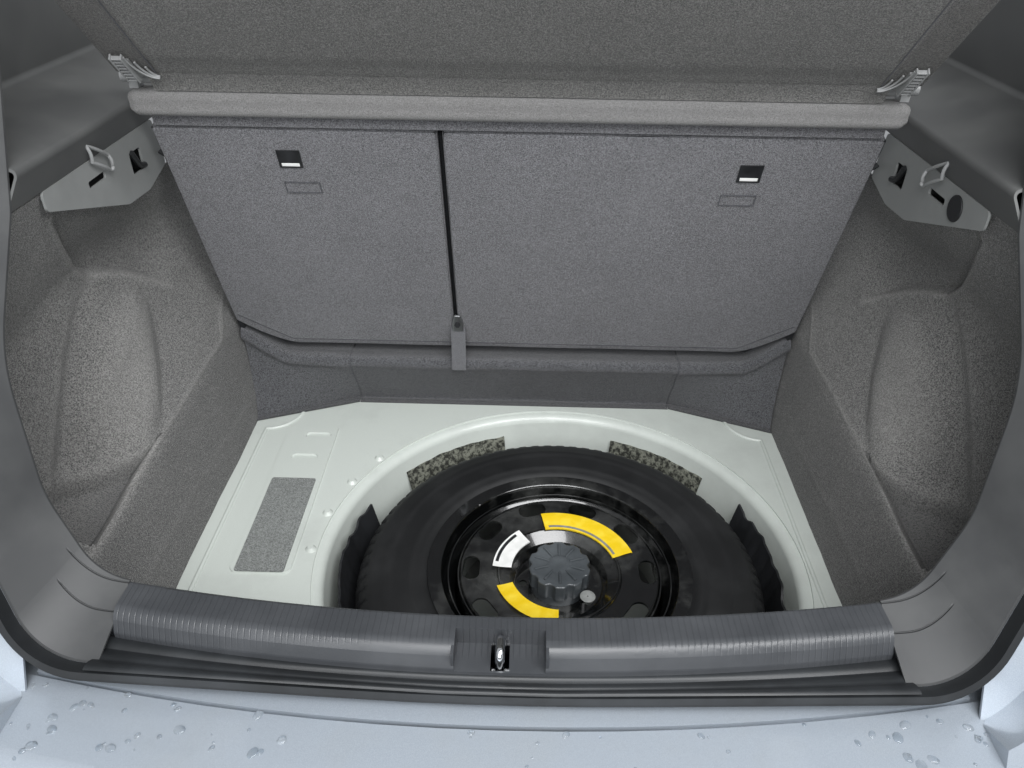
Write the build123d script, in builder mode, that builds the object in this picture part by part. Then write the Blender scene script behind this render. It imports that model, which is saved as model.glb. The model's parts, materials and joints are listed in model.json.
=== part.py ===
from build123d import *
from math import cos, radians, sin, sqrt
import os

# Luggage compartment of a small crossover car, with its spare wheel, in millimetres.
# X is to the right as one stands behind the car, Y is forward and Z is up.
# The origin is the middle of the underside of the floor's front cross member.
# Places are measured from the middle of the load sill, by the planes below.
os.makedirs("parts", exist_ok=True)

SILL_Y = -830  # load sill, behind the cross member's middle
SILL_Z = 323  # load sill, over the cross member's underside
SEAT = 0.3  # clearance at a seated face
TRIM = 3  # wall of a moulded trim
SHEET = 3  # pressed steel sheet
CARPET = 4  # needle felt
CABIN_HALF = 510  # half the width between the side carpets, at the seat backs
BOW = 2650  # radius of the car's tail in plan

# Floor pan and the well for the spare wheel
PAN_TOP = -250
PAN_REAR = -22
PAN_FRONT = 875
PAN_HALF = CABIN_HALF + 62
CORNER_HALF = 700
CORNER_FRONT = 235
WELL_X = 82
WELL_Y = 383
WELL_RIM = 370
WELL_FOOT = 338
WELL_DEPTH = 200
WELL_FOLD = 16
WELL_LAND = 28
BUMP_R = 9
BUMP_RISE = 5
BUMP_RING = 396
BUMP_ANGLES = [145, 156, 168, 180]
RIB_X = -382
RIB_Y = 515
RIB_SIZE = (96, 370)
RIB_RISE = 3
SLOTS = [(-368, 670, 58), (-379, 606, 46)]  # across, forward, length
SLOT_WIDTH = 15
FELT_SIZE = (77, 215)
FELT_Y = 438
FELT_THICK = 2
PAD_SWEEPS = [(106, 140), (41, 72), (159, 208), (-28, 24)]  # from and to angle about the well
PAD_TOP = -288
PAD_LENGTH = 52
PAD_THICK = 3

# Frame under the floor
MEMBER_X = 514
MEMBER_WIDTH = 60
MEMBER_HEIGHT = 70
MEMBER_WALL = 3
CROSS_DEPTH = 70
BOLT_R = 6.5
BOLT_X = 360

# Opening for the tailgate: a leaning plane, its outline at the seal and at the trim's inner edge
LEAN = 26
OPENING_Y = 22
OPENING_Z = -30
FUNNEL_DEPTH = 70
TOP = 560
OUTER = [  # across, up, radius, from the middle of the lower edge
    (0, -24, 4000),
    (482, -5, 80),
    (532, 110, 160),
    (590, 310, 300),
    (584, 480, 150),
    (556, 720, 20),
]
INNER = [
    (0, 38, 4000),
    (452, 52, 80),
    (512, 150, 150),
    (548, 300, 250),
    (526, 455, 100),
    (528, 760, 20),
]
FLANGE = 16
RETURN_WIDTH = 42
SEAL_THICK = 13
SEAL_STEP = 6
SEAL_LIP = 6
RECESS_GROW = 60

# Sill trim and striker
SILL_HALF = 420
SILL_OVER = 20  # the channel is swept this far past its cut ends
SILL_FRONT = 76
SILL_REAR = 19
SILL_TOP = -13
SILL_LIP = -46
SILL_WALL_HALF = CABIN_HALF - 13
RECESS_HALF = 48
RECESS_FRONT = 56
RECESS_FLOOR = -42
STRIKER_R = 6
STRIKER_REAR = 28
STRIKER_FRONT = 50
STRIKER_TOP = -14
STRIKER_PLATE = (44, 44, 5)  # width, length, thickness

# Rear panel, bumper and body sides
PANEL_HALF = 700
PANEL_TOP = -68
PANEL_STEP = 8  # height of the painted strip over the panel's flange
PANEL_FLANGE = 88
PANEL_NOTCH = 500
SEAM_TOP = -70
SEAM_FRONT = 64
BUMPER_TAIL = -130
BUMPER_HALF = CABIN_HALF + 362
BUMPER_FRONT = 430
LID_WIDTH = 70
BUMPER_LOW = -345
BUMPER_EDGE = 26
CLAD_LOW = -440
CLAD_INSET = 2
BEAM_HALF = 560
BEAM = (28, 90)  # depth and height
BEAM_Z = -190
BEAM_Y = -46
STAY_X = 470
SIDE_PROFILE = [(-38, -345), (2, -110), (-6, 90), (-34, 270), (-102, TOP)]  # out from the bumper, up
SIDE_WALL = 34
TAIL_EDGE = 48
ARCH_Y = 620
ARCH_Z = -375
ARCH_R = 376

# Side carpets: one row a section, from the sill to the seat backs
FOOT_X = CABIN_HALF - 10
CARPET_ROWS = [  # forward, then out from the cabin's half and up: crease, floor, wall, top
    (60, 42, -112, 100, -96, 132, 110, 29, 343),
    (230, 35, -98, 112, -78, 136, 120, 28, 343),
    (360, 28, -84, 102, -50, 126, 150, 27, 341),
    (480, 20, -72, 74, 20, 108, 176, 27, 300),
    (610, 14, -58, 56, 44, 86, 176, 27, 275),
    (792, 10, -36, 36, 70, 56, 176, 27, 268),
]

# Upper side trim with the ledge that the parcel shelf lies on, and the support trim under it
LEDGE_X = CABIN_HALF + 6
LEDGE_Z = 385
LEDGE_OUT_X = CABIN_HALF + 130
LEDGE_OUT_Z = 420
UPPER_LOW_X = CABIN_HALF + 21
UPPER_LOW_Z = 345
UPPER_TOP_X = CABIN_HALF + 96
UPPER_FRONT = 830
SUPPORT_TOP = UPPER_LOW_Z - SEAT
SUPPORT = [  # forward, up
    (352, 322),
    (531, 262),
    (597, 259),
    (664, 276),
    (650, SUPPORT_TOP),
    (352, SUPPORT_TOP),
]
BELT_HOLE = (580, 306, 34, 30)  # forward, up, length, height
BELT_SLOT = (470, 318, 44, 9)
CAP_R = 16
CAP_PROUD = 2
CAP_AT = (420, 322)

# Step carpet under the seat backs
STEP_Y = 742
STEP_TOP = -122
STEP_DEPTH = 66
STEP_FOOT = 796
STEP_LIP = 14
STEP_SEAM = 310
STEP_WALL = 5
STEP_CORNER_Y = 750
STEP_CORNER_FOOT = 716
STEP_CORNER_FRONT = 868
STEP_TOP_HALF = CABIN_HALF + 1

# Spare wheel, face up in the well
WHEEL_Y = 372
TYRE_R = 324
TYRE_WIDTH = 195
TYRE_CENTRE = -352
BEAD_R = 190
FLANGE_R = 208
RIM_WIDTH = 188
RIM_WALL = 4
RIM_DROP = 166
LUGS = 5
LUG_RING = 57
LUG_HOLE_R = 7
VENTS = 10
VENT_RING = 140
VENT = (48, 27)
DISC_RISE = -11  # the disc's crown, from the rim's face
HUB_R = 33
STUD_R = 5
STUD_FOOT_R = 22
STUD_REACH = 12
STUD_FOOT = 5
KNOB_R = 49
KNOB_HOLLOW = 9
KNOB_LOBES = 10
KNOB_HEIGHT = 30
KNOB_LOW = -287

# Seat backs
SEAT_FACE_Y = 766
SEAT_LOW = -100
SEAT_TOP = 346
SEAT_LEAN = 19.85
SEAT_HALF = CABIN_HALF
SPLIT_X = -107
SPLIT_GAP = 10
SEAT_PANEL = 18
CUSHION = 88
CUSHION_INSET = 14
CUSHION_DROP = 4
CORNER_CUT = (78, 62)
PIVOT_Y = 835
PIVOT_Z = -75
PIVOT_R = 6
EAR = 8
EAR_R = 22
HINGE_PLATE = 3
HINGE_GAP = 4
HINGE_FOOT = 40
HEAD_HALF = 115
HEAD_HEIGHT = 130
HEAD_DEPTH = 70
HEAD_LIFT = 34
HEAD_BACK = 14
POST_R = 6
POST_SPREAD = 70

# Parcel shelf, shown raised, and the bar that it hinges on
BAR_Y = 591
BAR_Z = 386
BAR = (42, 36)  # depth and height
BAR_HALF = CABIN_HALF + 8
SHELF_Y = 590
SHELF_Z = 418
SHELF_TILT = 45
SHELF_LENGTH = 330
SHELF_HALF = CABIN_HALF + 7
SHELF_THICK = 14
SHELF_RIM = 58
SHELF_GAP = 26
SHELF_DROP = 14
SHELF_CORNER = 60
PAD_RISE = 3
CLIP_X = CABIN_HALF - 26
CLIP_WIDTH = 16
CLIP_REACH = 34
PIN_R = 4


def level(z):
    """Level plane at a height over the sill: across, then forward."""
    return Plane(origin=(0, SILL_Y, SILL_Z + z))


def across(y):
    """Upright plane across the car, facing the tail: across, then up."""
    return Plane(origin=(0, SILL_Y + y, SILL_Z), x_dir=(1, 0, 0), z_dir=(0, -1, 0))


def beside(x):
    """Upright plane along the car, facing right: forward, then up."""
    return Plane(origin=(x, SILL_Y, SILL_Z), x_dir=(0, 1, 0), z_dir=(1, 0, 0))


def leaning(depth):
    """Plane of the tailgate's opening, or one further in: across, then up the slope."""
    tilt = radians(LEAN)
    middle = (0, SILL_Y + OPENING_Y, SILL_Z + OPENING_Z)
    return Plane(origin=middle, x_dir=(1, 0, 0), z_dir=(0, -cos(tilt), sin(tilt))).offset(-depth)


def opening_face(corners, grow, depth):
    """Rounded outline of the opening, made larger all round."""
    right = [(x, up) for x, up, r in corners]
    left = [(-x, up) for x, up in reversed(right[1:])]
    radii = [r for x, up, r in corners]
    with BuildSketch(leaning(depth)) as face:
        with BuildLine():
            FilletPolyline(*right, *left, radius=radii + radii[:0:-1], close=True)
        make_face()
        if grow:
            offset(amount=grow)
    return face.sketch


def opening_ring(corners, outer, inner, depth):
    """Band round the opening between two growths of its outline."""
    return opening_face(corners, outer, depth) - opening_face(corners, inner, depth)


def under_top(reach=2000):
    """Block that keeps what lies under the cut at the top."""
    with BuildPart() as keep:
        with BuildSketch(level(TOP)):
            Rectangle(reach, reach * 2)
        extrude(amount=-reach)
    return keep.part


def bow_drop(half):
    """How far forward the bow of the tail has come at a half width."""
    return BOW - sqrt(BOW**2 - half**2)


def mirrored(piece):
    return mirror(piece, about=Plane.YZ)


def finish(piece, label):
    piece.label = label
    export_step(piece, f"parts/{label}.step")


BELOW_TOP = under_top()

# Floor pan: a flat pressing with corner floors, a round opening for the well, and small pressings
with BuildPart() as floor_pan:
    with BuildSketch(level(PAN_TOP)):
        with BuildLine():
            Polyline(
                (-CORNER_HALF, PAN_REAR),
                (CORNER_HALF, PAN_REAR),
                (CORNER_HALF, CORNER_FRONT),
                (PAN_HALF, CORNER_FRONT),
                (PAN_HALF, PAN_FRONT),
                (-PAN_HALF, PAN_FRONT),
                (-PAN_HALF, CORNER_FRONT),
                (-CORNER_HALF, CORNER_FRONT),
                close=True,
            )
        make_face()
        with Locations((WELL_X, WELL_Y)):
            Circle(WELL_RIM + WELL_FOLD, mode=Mode.SUBTRACT)
    extrude(amount=-SHEET)
    with BuildSketch(level(PAN_TOP)):
        for angle in BUMP_ANGLES:
            spoke = radians(angle)
            with Locations((WELL_X + BUMP_RING * cos(spoke), WELL_Y + BUMP_RING * sin(spoke))):
                Circle(BUMP_R)
    extrude(amount=BUMP_RISE, taper=40)
    with BuildSketch(level(PAN_TOP)):
        with Locations((RIB_X, RIB_Y)):
            RectangleRounded(*RIB_SIZE, 12)
        with Locations(*[(x, y) for x, y, length in SLOTS]):
            SlotOverall(min(length for x, y, length in SLOTS), SLOT_WIDTH, mode=Mode.SUBTRACT)
    extrude(amount=RIB_RISE, taper=20)
finish(floor_pan.part, "floor_pan")

# Wheel well: a turned bowl whose land lies under the pan
well_axis = Axis((WELL_X, SILL_Y + WELL_Y, 0), (0, 0, 1))
well_land = PAN_TOP - SHEET
with BuildPart() as wheel_well:
    with BuildSketch(Plane(origin=(WELL_X, SILL_Y + WELL_Y, SILL_Z), x_dir=(1, 0, 0), z_dir=(0, -1, 0))):
        with BuildLine():
            line = FilletPolyline(
                (WELL_RIM + WELL_LAND, well_land),
                (WELL_RIM, well_land),
                (WELL_FOOT, PAN_TOP - WELL_DEPTH),
                (0, PAN_TOP - WELL_DEPTH),
                radius=WELL_FOLD,
            )
            offset(line, amount=SHEET, side=Side.LEFT)
        make_face()
    revolve(axis=well_axis)
finish(wheel_well.part, "wheel_well")

# Felt pad on the raised pressing
with BuildPart() as felt_pad:
    with BuildSketch(level(PAN_TOP + RIB_RISE)):
        with Locations((RIB_X, FELT_Y)):
            RectangleRounded(*FELT_SIZE, 4)
    extrude(amount=FELT_THICK)
finish(felt_pad.part, "floor_felt_pad")

# Damping pads on the well's wall, each turned through its own angle
with BuildPart() as damping_pads:
    slope = (WELL_RIM - WELL_FOOT) / WELL_DEPTH
    top_r = WELL_RIM + slope * (PAD_TOP - PAN_TOP) - SEAT
    foot_r = top_r - slope * PAD_LENGTH
    for start, end in PAD_SWEEPS:
        ray = (cos(radians(start)), sin(radians(start)), 0)
        face = (sin(radians(start)), -cos(radians(start)), 0)
        with BuildSketch(Plane(origin=(WELL_X, SILL_Y + WELL_Y, SILL_Z), x_dir=ray, z_dir=face)):
            Polygon(
                (top_r, PAD_TOP),
                (foot_r, PAD_TOP - PAD_LENGTH),
                (foot_r - PAD_THICK, PAD_TOP - PAD_LENGTH),
                (top_r - PAD_THICK, PAD_TOP),
                align=None,
            )
        revolve(axis=well_axis, revolution_arc=end - start)
finish(damping_pads.part, "damping_pads")

# Side members: box sections under the pan
member_top = PAN_TOP - SHEET
with BuildPart() as side_member:
    with BuildSketch(across(PAN_FRONT)):
        with Locations((MEMBER_X, member_top - MEMBER_HEIGHT / 2)):
            RectangleRounded(MEMBER_WIDTH, MEMBER_HEIGHT, 8)
            Rectangle(MEMBER_WIDTH - 2 * MEMBER_WALL, MEMBER_HEIGHT - 2 * MEMBER_WALL, mode=Mode.SUBTRACT)
    extrude(amount=PAN_FRONT - PAN_REAR)
finish(side_member.part, "side_member_right")
finish(mirrored(side_member.part), "side_member_left")

# Cross member between them, closed, with two bolt holes in its underside
cross_span = MEMBER_X * 2 - MEMBER_WIDTH
with BuildPart() as cross_member:
    with BuildSketch(Plane(origin=(-cross_span / 2, 0, MEMBER_HEIGHT / 2), x_dir=(0, 1, 0), z_dir=(1, 0, 0))):
        RectangleRounded(CROSS_DEPTH, MEMBER_HEIGHT, 6)
        Rectangle(CROSS_DEPTH - 2 * MEMBER_WALL, MEMBER_HEIGHT - 2 * MEMBER_WALL, mode=Mode.SUBTRACT)
    extrude(amount=cross_span)
    with BuildSketch(Plane.XY):
        with Locations((-BOLT_X, 0), (BOLT_X, 0)):
            Circle(BOLT_R)
    extrude(amount=MEMBER_WALL + 1, mode=Mode.SUBTRACT)
finish(cross_member.part, "cross_member")

# Rear panel: an upright sheet with a level flange, and a painted strip on it that bows with the tail
def ahead_of_seam(height, gap, half, front):
    """Level face from the seam between the body and the bumper, which bows with the tail."""
    middle = PAN_REAR - gap
    end = middle + bow_drop(half)
    with BuildSketch(level(height)) as region:
        with BuildLine():
            ThreePointArc((-half, end), (0, middle), (half, end))
            Polyline((half, end), (half, front), (-half, front), (-half, end))
        make_face()
    return region.sketch


flange_top = PANEL_TOP - PANEL_STEP
with BuildPart() as rear_panel:
    with BuildSketch(beside(-PANEL_HALF)):
        with BuildLine():
            line = FilletPolyline(
                (PAN_REAR, member_top - MEMBER_HEIGHT),
                (PAN_REAR, flange_top - SHEET),
                (PAN_REAR + PANEL_FLANGE, flange_top - SHEET),
                radius=5,
            )
            offset(line, amount=SHEET, side=Side.LEFT)
        make_face()
    extrude(amount=PANEL_HALF * 2)
    extrude(ahead_of_seam(PANEL_TOP, 0, PANEL_NOTCH, SEAM_FRONT), amount=-PANEL_STEP)
finish(rear_panel.part, "rear_panel")


def funnel(grow):
    """Solid that narrows from the opening's outline at the seal to the trim's inner edge."""
    with BuildPart() as solid:
        add(opening_face(OUTER, grow, 0))
        add(opening_face(INNER, grow, FUNNEL_DEPTH))
        loft()
    return solid.part


# Trim round the opening: the funnel's wall and a return flange at its inner edge
with BuildPart() as surround:
    add(funnel(TRIM))
    add(funnel(0), mode=Mode.SUBTRACT)
    extrude(opening_ring(INNER, RETURN_WIDTH, 0, FUNNEL_DEPTH), amount=-TRIM)
    add(BELOW_TOP, mode=Mode.INTERSECT)

# Sill trim: a rounded channel that bows with the tail, with the striker's recess and an inner wall
sill_reach = SILL_HALF + SILL_OVER
with BuildPart() as sill_trim:
    with BuildLine(level(0)) as sill_line:
        ThreePointArc((-sill_reach, bow_drop(sill_reach)), (0, 0), (sill_reach, bow_drop(sill_reach)))
    along = sill_line.line % 0
    with BuildSketch(Plane(origin=sill_line.line @ 0, x_dir=Vector(0, 0, 1).cross(along), z_dir=along)):
        with BuildLine():
            line = FilletPolyline(
                (SILL_REAR, SILL_LIP),
                (SILL_REAR + 1, SILL_TOP - 23),
                (SILL_REAR + 12, SILL_TOP),
                (SILL_FRONT, SILL_TOP - 3),
                (SILL_FRONT, SILL_LIP - 4),
                radius=[8, 16, 6],
            )
            offset(line, amount=TRIM, side=Side.RIGHT)
        make_face()
    sweep(path=sill_line.line)
    with BuildSketch(level(SILL_TOP + TRIM)):
        Rectangle(SILL_HALF * 2, 1000)
    extrude(amount=-100, mode=Mode.INTERSECT)
    with BuildSketch(across(SILL_FRONT - SEAT)):
        Polygon(
            (-FOOT_X + SEAT, PAN_TOP),
            (FOOT_X - SEAT, PAN_TOP),
            (SILL_WALL_HALF, SILL_TOP - 15),
            (-SILL_WALL_HALF, SILL_TOP - 15),
            align=None,
        )
    extrude(amount=TRIM)
    with BuildSketch(level(RECESS_FLOOR)):
        with Locations((0, (RECESS_FRONT + SILL_REAR) / 2 + TRIM)):
            Rectangle(RECESS_HALF * 2 + 2 * TRIM, RECESS_FRONT - SILL_REAR)
    extrude(amount=SILL_TOP - RECESS_FLOOR - 2)
    with BuildSketch(level(RECESS_FLOOR + TRIM)):
        with Locations((0, RECESS_FRONT - 100)):
            Rectangle(RECESS_HALF * 2, 200)
    extrude(amount=80, mode=Mode.SUBTRACT)
    with BuildSketch(level(RECESS_FLOOR)):
        with Locations((0, (STRIKER_REAR + STRIKER_FRONT) / 2)):
            Rectangle(STRIKER_R * 2 + 8, STRIKER_FRONT - STRIKER_REAR + 2 * STRIKER_R)
    extrude(amount=TRIM, mode=Mode.SUBTRACT)
finish(sill_trim.part, "sill_trim")

# Pillar trims: the surround on each side of the sill trim
with BuildPart() as pillar_trim:
    add(surround.part)
    with BuildSketch(level(-200)):
        with Locations((SILL_HALF + SEAT + 1000, 0)):
            Rectangle(2000, 4000)
    extrude(amount=1000, mode=Mode.INTERSECT)
finish(pillar_trim.part, "pillar_trim_right")
finish(mirrored(pillar_trim.part), "pillar_trim_left")

# Weather seal: a bulb and a lip pushed onto the flange of the opening
with BuildPart() as weather_seal:
    extrude(opening_ring(OUTER, FLANGE, TRIM + SEAT, 0), amount=SEAL_THICK)
    extrude(opening_ring(OUTER, FLANGE - SEAL_STEP, TRIM + SEAT, -SEAL_THICK), amount=SEAL_LIP)
    add(BELOW_TOP, mode=Mode.INTERSECT)
finish(weather_seal.part, "weather_seal")

# Striker: a bent bar on a plate that is bolted to the rear panel's flange
with BuildPart() as striker:
    plate_width, plate_length, plate_thick = STRIKER_PLATE
    middle_y = (STRIKER_REAR + STRIKER_FRONT) / 2
    with BuildSketch(level(PANEL_TOP)):
        with Locations((0, middle_y)):
            Rectangle(plate_width, plate_length)
    extrude(amount=plate_thick)
    with BuildLine(beside(0)) as bar_line:
        FilletPolyline(
            (STRIKER_REAR, PANEL_TOP + 1),
            (STRIKER_REAR, STRIKER_TOP - STRIKER_R),
            (STRIKER_FRONT, STRIKER_TOP - STRIKER_R),
            (STRIKER_FRONT, PANEL_TOP + 1),
            radius=6,
        )
    with BuildSketch(level(PANEL_TOP + 1)):
        with Locations((0, STRIKER_REAR)):
            Circle(STRIKER_R - 1)
    sweep(path=bar_line.wires()[0])
finish(striker.part, "tailgate_striker")


# Body sides: the car's outer form less its cabin, the opening, the tailgate's recess and the arch
def plan_outline(half, tail, front, height, grow=0):
    """Rounded tail of the car in plan: the width at its corners, the tail's place, the front cut."""
    corner = half - 118
    end = tail + bow_drop(corner)
    with BuildSketch(level(height)) as plan:
        with BuildLine():
            ThreePointArc((-corner, end), (0, tail), (corner, end))
            Polyline(
                (corner, end),
                (half, end + 190),
                (half, front),
                (-half, front),
                (-half, end + 190),
                (-corner, end),
            )
        make_face()
        fillet(plan.vertices().sort_by(Axis.Y)[:4], 105)
        if grow:
            offset(amount=grow)
    return plan.sketch


body_plan = plan_outline(BUMPER_HALF + 4, BUMPER_TAIL + 30, PAN_FRONT, SEAM_TOP)
right_profile = [(BUMPER_HALF + x, up) for x, up in SIDE_PROFILE]
left_profile = [(-x, up) for x, up in reversed(right_profile)]
inner_profile = [(x - SIDE_WALL, up) for x, up in right_profile]
inner_profile[-1] = (inner_profile[-1][0], TOP + 40)
inner_left = [(-x, up) for x, up in reversed(inner_profile)]

with BuildPart() as cabin:
    with BuildSketch(across(PAN_FRONT + 10)):
        Polygon(*inner_profile, *inner_left, align=None)
    extrude(amount=1200)
    with BuildSketch(leaning(SHEET)):
        Rectangle(4000, 4000)
    extrude(amount=-2000, mode=Mode.INTERSECT)

with BuildPart() as tail_block:
    extrude(body_plan, amount=TOP - SEAM_TOP)

with BuildPart() as body_side:
    with BuildSketch(across(PAN_FRONT)) as section:
        Polygon(*right_profile, *left_profile, align=None)
        fillet(section.vertices().filter_by(lambda v: -200 < v.Z - SILL_Z < 400), 170)
    extrude(amount=1200)
    add(tail_block.part, mode=Mode.INTERSECT)
    with BuildSketch(leaning(-TAIL_EDGE)):
        Rectangle(3000, 3000)
    extrude(amount=1000, mode=Mode.SUBTRACT)
    extrude(opening_face(OUTER, RECESS_GROW, 0), amount=400, mode=Mode.SUBTRACT)
    extrude(opening_face(OUTER, TRIM + SEAT, -10), amount=-600, mode=Mode.SUBTRACT)
    add(cabin.part, mode=Mode.SUBTRACT)
    with BuildSketch(beside(0)):
        with Locations((ARCH_Y, ARCH_Z)):
            Circle(ARCH_R + SHEET + SEAT)
    extrude(amount=2000, both=True, mode=Mode.SUBTRACT)
    with BuildSketch(level(SEAM_TOP)):
        with Locations((PANEL_NOTCH + SEAT + 1000, 0)):
            Rectangle(2000, 4000)
    extrude(amount=1000, mode=Mode.INTERSECT)
finish(body_side.part, "body_side_right")
finish(mirrored(body_side.part), "body_side_left")

# Wheelhouses: a half drum over each wheel, closed on the cabin's side
with BuildPart() as wheelhouse:
    with BuildSketch(beside(PAN_HALF)):
        with Locations((ARCH_Y, ARCH_Z)):
            Circle(ARCH_R + SHEET)
    extrude(amount=BUMPER_HALF - PAN_HALF - 12)
    with BuildSketch(beside(PAN_HALF + SHEET)):
        with Locations((ARCH_Y, ARCH_Z)):
            Circle(ARCH_R)
    extrude(amount=BUMPER_HALF, mode=Mode.SUBTRACT)
    with BuildSketch(level(member_top)):
        with Locations((0, (CORNER_FRONT + SEAT + PAN_FRONT) / 2)):
            Rectangle(4000, PAN_FRONT - CORNER_FRONT - SEAT)
    extrude(amount=1000, mode=Mode.INTERSECT)
finish(wheelhouse.part, "wheelhouse_right")
finish(mirrored(wheelhouse.part), "wheelhouse_left")


# Bumper cover: a hollow moulding that follows the tail in plan, with a lid up to the seam
def arch_drum(radius):
    """Drum over both rear wheels, which cuts the arches."""
    with BuildPart() as drum:
        with BuildSketch(beside(0)):
            with Locations((ARCH_Y, ARCH_Z)):
                Circle(radius)
        extrude(amount=2000, both=True)
    return drum.part


def lid_hole(half, tail, top):
    """Block that opens a moulding's lid ahead of the seam, leaving a band along its sides."""
    with BuildPart() as hole:
        inner = plan_outline(half, tail, BUMPER_FRONT + LID_WIDTH + 20, top + 10, -LID_WIDTH)
        extrude(inner, amount=-TRIM - 11)
        ahead = ahead_of_seam(top + 20, SHEET + SEAT, half + 100, BUMPER_FRONT + 100)
        extrude(ahead, amount=-100, mode=Mode.INTERSECT)
    return hole.part


def tail_form(half, tail, top, low, grow, edge):
    """Solid that follows the tail in plan, with a rounded upper edge."""
    with BuildPart() as form:
        extrude(plan_outline(half, tail, BUMPER_FRONT, top, grow), amount=low - top)
        if edge > 0:
            rim = form.faces().sort_by(Axis.Z)[-1].edges()
            fillet(rim.filter_by(lambda e: e.center().Y < SILL_Y + BUMPER_FRONT - 8), edge)
    return form.part


def moulding(half, tail, top, low, edge):
    """Hollow moulding round the tail, open underneath and at the front, cut by the arches."""
    with BuildPart() as cover:
        add(tail_form(half, tail, top, low, 0, edge))
        add(tail_form(half, tail, top - TRIM, low - 10, -TRIM, edge - TRIM), mode=Mode.SUBTRACT)
        with BuildSketch(across(BUMPER_FRONT - TRIM - 1)):
            Rectangle(4000, 4000)
        extrude(amount=-100, mode=Mode.SUBTRACT)
        with BuildSketch(level(top - TRIM - 0.1)):
            with Locations((0, PAN_REAR - SHEET - SEAT + 500)):
                Rectangle((PANEL_HALF + SEAT) * 2, 1000)
        extrude(amount=low - top - 40, mode=Mode.SUBTRACT)
        add(lid_hole(half, tail, top), mode=Mode.SUBTRACT)
        add(arch_drum(ARCH_R + SHEET + SEAT), mode=Mode.SUBTRACT)
    return cover.part


finish(moulding(BUMPER_HALF, BUMPER_TAIL, SEAM_TOP - SEAT, BUMPER_LOW, BUMPER_EDGE), "bumper_cover")
clad = moulding(BUMPER_HALF - CLAD_INSET, BUMPER_TAIL + CLAD_INSET, BUMPER_LOW - SEAT, CLAD_LOW, 0)
finish(clad, "bumper_cladding")

# Bumper beam on two stays
with BuildPart() as bumper_beam:
    depth, height = BEAM
    with BuildSketch(beside(-BEAM_HALF)):
        with Locations((BEAM_Y, BEAM_Z)):
            RectangleRounded(depth, height, 8)
            Rectangle(depth - 2 * MEMBER_WALL, height - 2 * MEMBER_WALL, mode=Mode.SUBTRACT)
    extrude(amount=BEAM_HALF * 2)
    with BuildSketch(across(PAN_REAR - SHEET)):
        with Locations((-STAY_X, BEAM_Z), (STAY_X, BEAM_Z)):
            Rectangle(MEMBER_WIDTH, MEMBER_HEIGHT)
    extrude(amount=PAN_REAR - SHEET - BEAM_Y - depth / 2)
finish(bumper_beam.part, "bumper_beam")

# Side carpets: a felt wall through the sections above, cut behind the surround
with BuildPart() as side_carpet:
    for y, *points in CARPET_ROWS:
        inner = [(FOOT_X, PAN_TOP)] + [(CABIN_HALF + x, up) for x, up in zip(points[::2], points[1::2])]
        outer = [(x + CARPET, up - CARPET * (0 < n < 3)) for n, (x, up) in enumerate(inner)]
        with BuildSketch(across(y)):
            Polygon(*inner, *reversed(outer), align=None)
    loft(ruled=True)
    with BuildSketch(across(SILL_FRONT + SEAT)):
        Rectangle(3000, 2000)
    extrude(amount=300, mode=Mode.SUBTRACT)
    with BuildSketch(leaning(FUNNEL_DEPTH + TRIM + SEAT)):
        Rectangle(3000, 3000)
    extrude(amount=900, mode=Mode.SUBTRACT)
finish(side_carpet.part, "side_carpet_right")
finish(mirrored(side_carpet.part), "side_carpet_left")

# Upper side trims: a moulding with the ledge for the parcel shelf, cut behind the surround
with BuildPart() as upper_trim:
    with BuildSketch(across(UPPER_FRONT)):
        with BuildLine():
            line = FilletPolyline(
                (UPPER_LOW_X, UPPER_LOW_Z),
                (LEDGE_X, LEDGE_Z),
                (LEDGE_OUT_X, LEDGE_OUT_Z),
                (UPPER_TOP_X, TOP),
                radius=7,
            )
            offset(line, amount=TRIM, side=Side.RIGHT)
        make_face()
    extrude(amount=700)
    with BuildSketch(leaning(FUNNEL_DEPTH + TRIM + SEAT)):
        Rectangle(3000, 3000)
    extrude(amount=1200, mode=Mode.SUBTRACT)
finish(upper_trim.part, "upper_trim_right")
finish(mirrored(upper_trim.part), "upper_trim_left")

# Support trims under the ledge: a plate with the belt's hole and a slot, and a round cap on one
with BuildPart() as support_trim:
    with BuildSketch(beside(UPPER_LOW_X - 1)) as outline:
        Polygon(*SUPPORT, align=None)
        fillet(outline.vertices(), 7)
        hole_y, hole_z, hole_length, hole_height = BELT_HOLE
        with Locations((hole_y, hole_z)):
            RectangleRounded(hole_length, hole_height, 5, mode=Mode.SUBTRACT)
        slot_y, slot_z, slot_length, slot_height = BELT_SLOT
        with Locations((slot_y, slot_z)):
            RectangleRounded(slot_length, slot_height, 3, mode=Mode.SUBTRACT)
    extrude(amount=TRIM)
finish(support_trim.part, "support_trim_right")
finish(mirrored(support_trim.part), "support_trim_left")

with BuildPart() as socket_cap:
    with BuildSketch(beside(UPPER_LOW_X - 1)):
        with Locations(CAP_AT):
            Circle(CAP_R)
    extrude(amount=-CAP_PROUD)
    fillet(socket_cap.faces().sort_by(Axis.X)[0].edges(), CAP_PROUD / 2)
finish(socket_cap.part, "support_trim_cap")

# Step carpets under the seat backs: a felt sheet with a lip on the pan, and one in each corner
with BuildPart() as step_centre:
    with BuildSketch(beside(-STEP_SEAM + SEAT)):
        with BuildLine():
            line = FilletPolyline(
                (STEP_FOOT - STEP_LIP, PAN_TOP),
                (STEP_FOOT, PAN_TOP),
                (STEP_Y - 3, STEP_TOP),
                (STEP_Y + STEP_DEPTH, STEP_TOP),
                radius=9,
            )
            offset(line, amount=STEP_WALL, side=Side.RIGHT)
        make_face()
    extrude(amount=(STEP_SEAM - SEAT) * 2)
    with BuildSketch(level(PAN_TOP)):
        Rectangle(3000, 3000)
    extrude(amount=-50, mode=Mode.SUBTRACT)
finish(step_centre.part, "step_carpet_centre")

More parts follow.
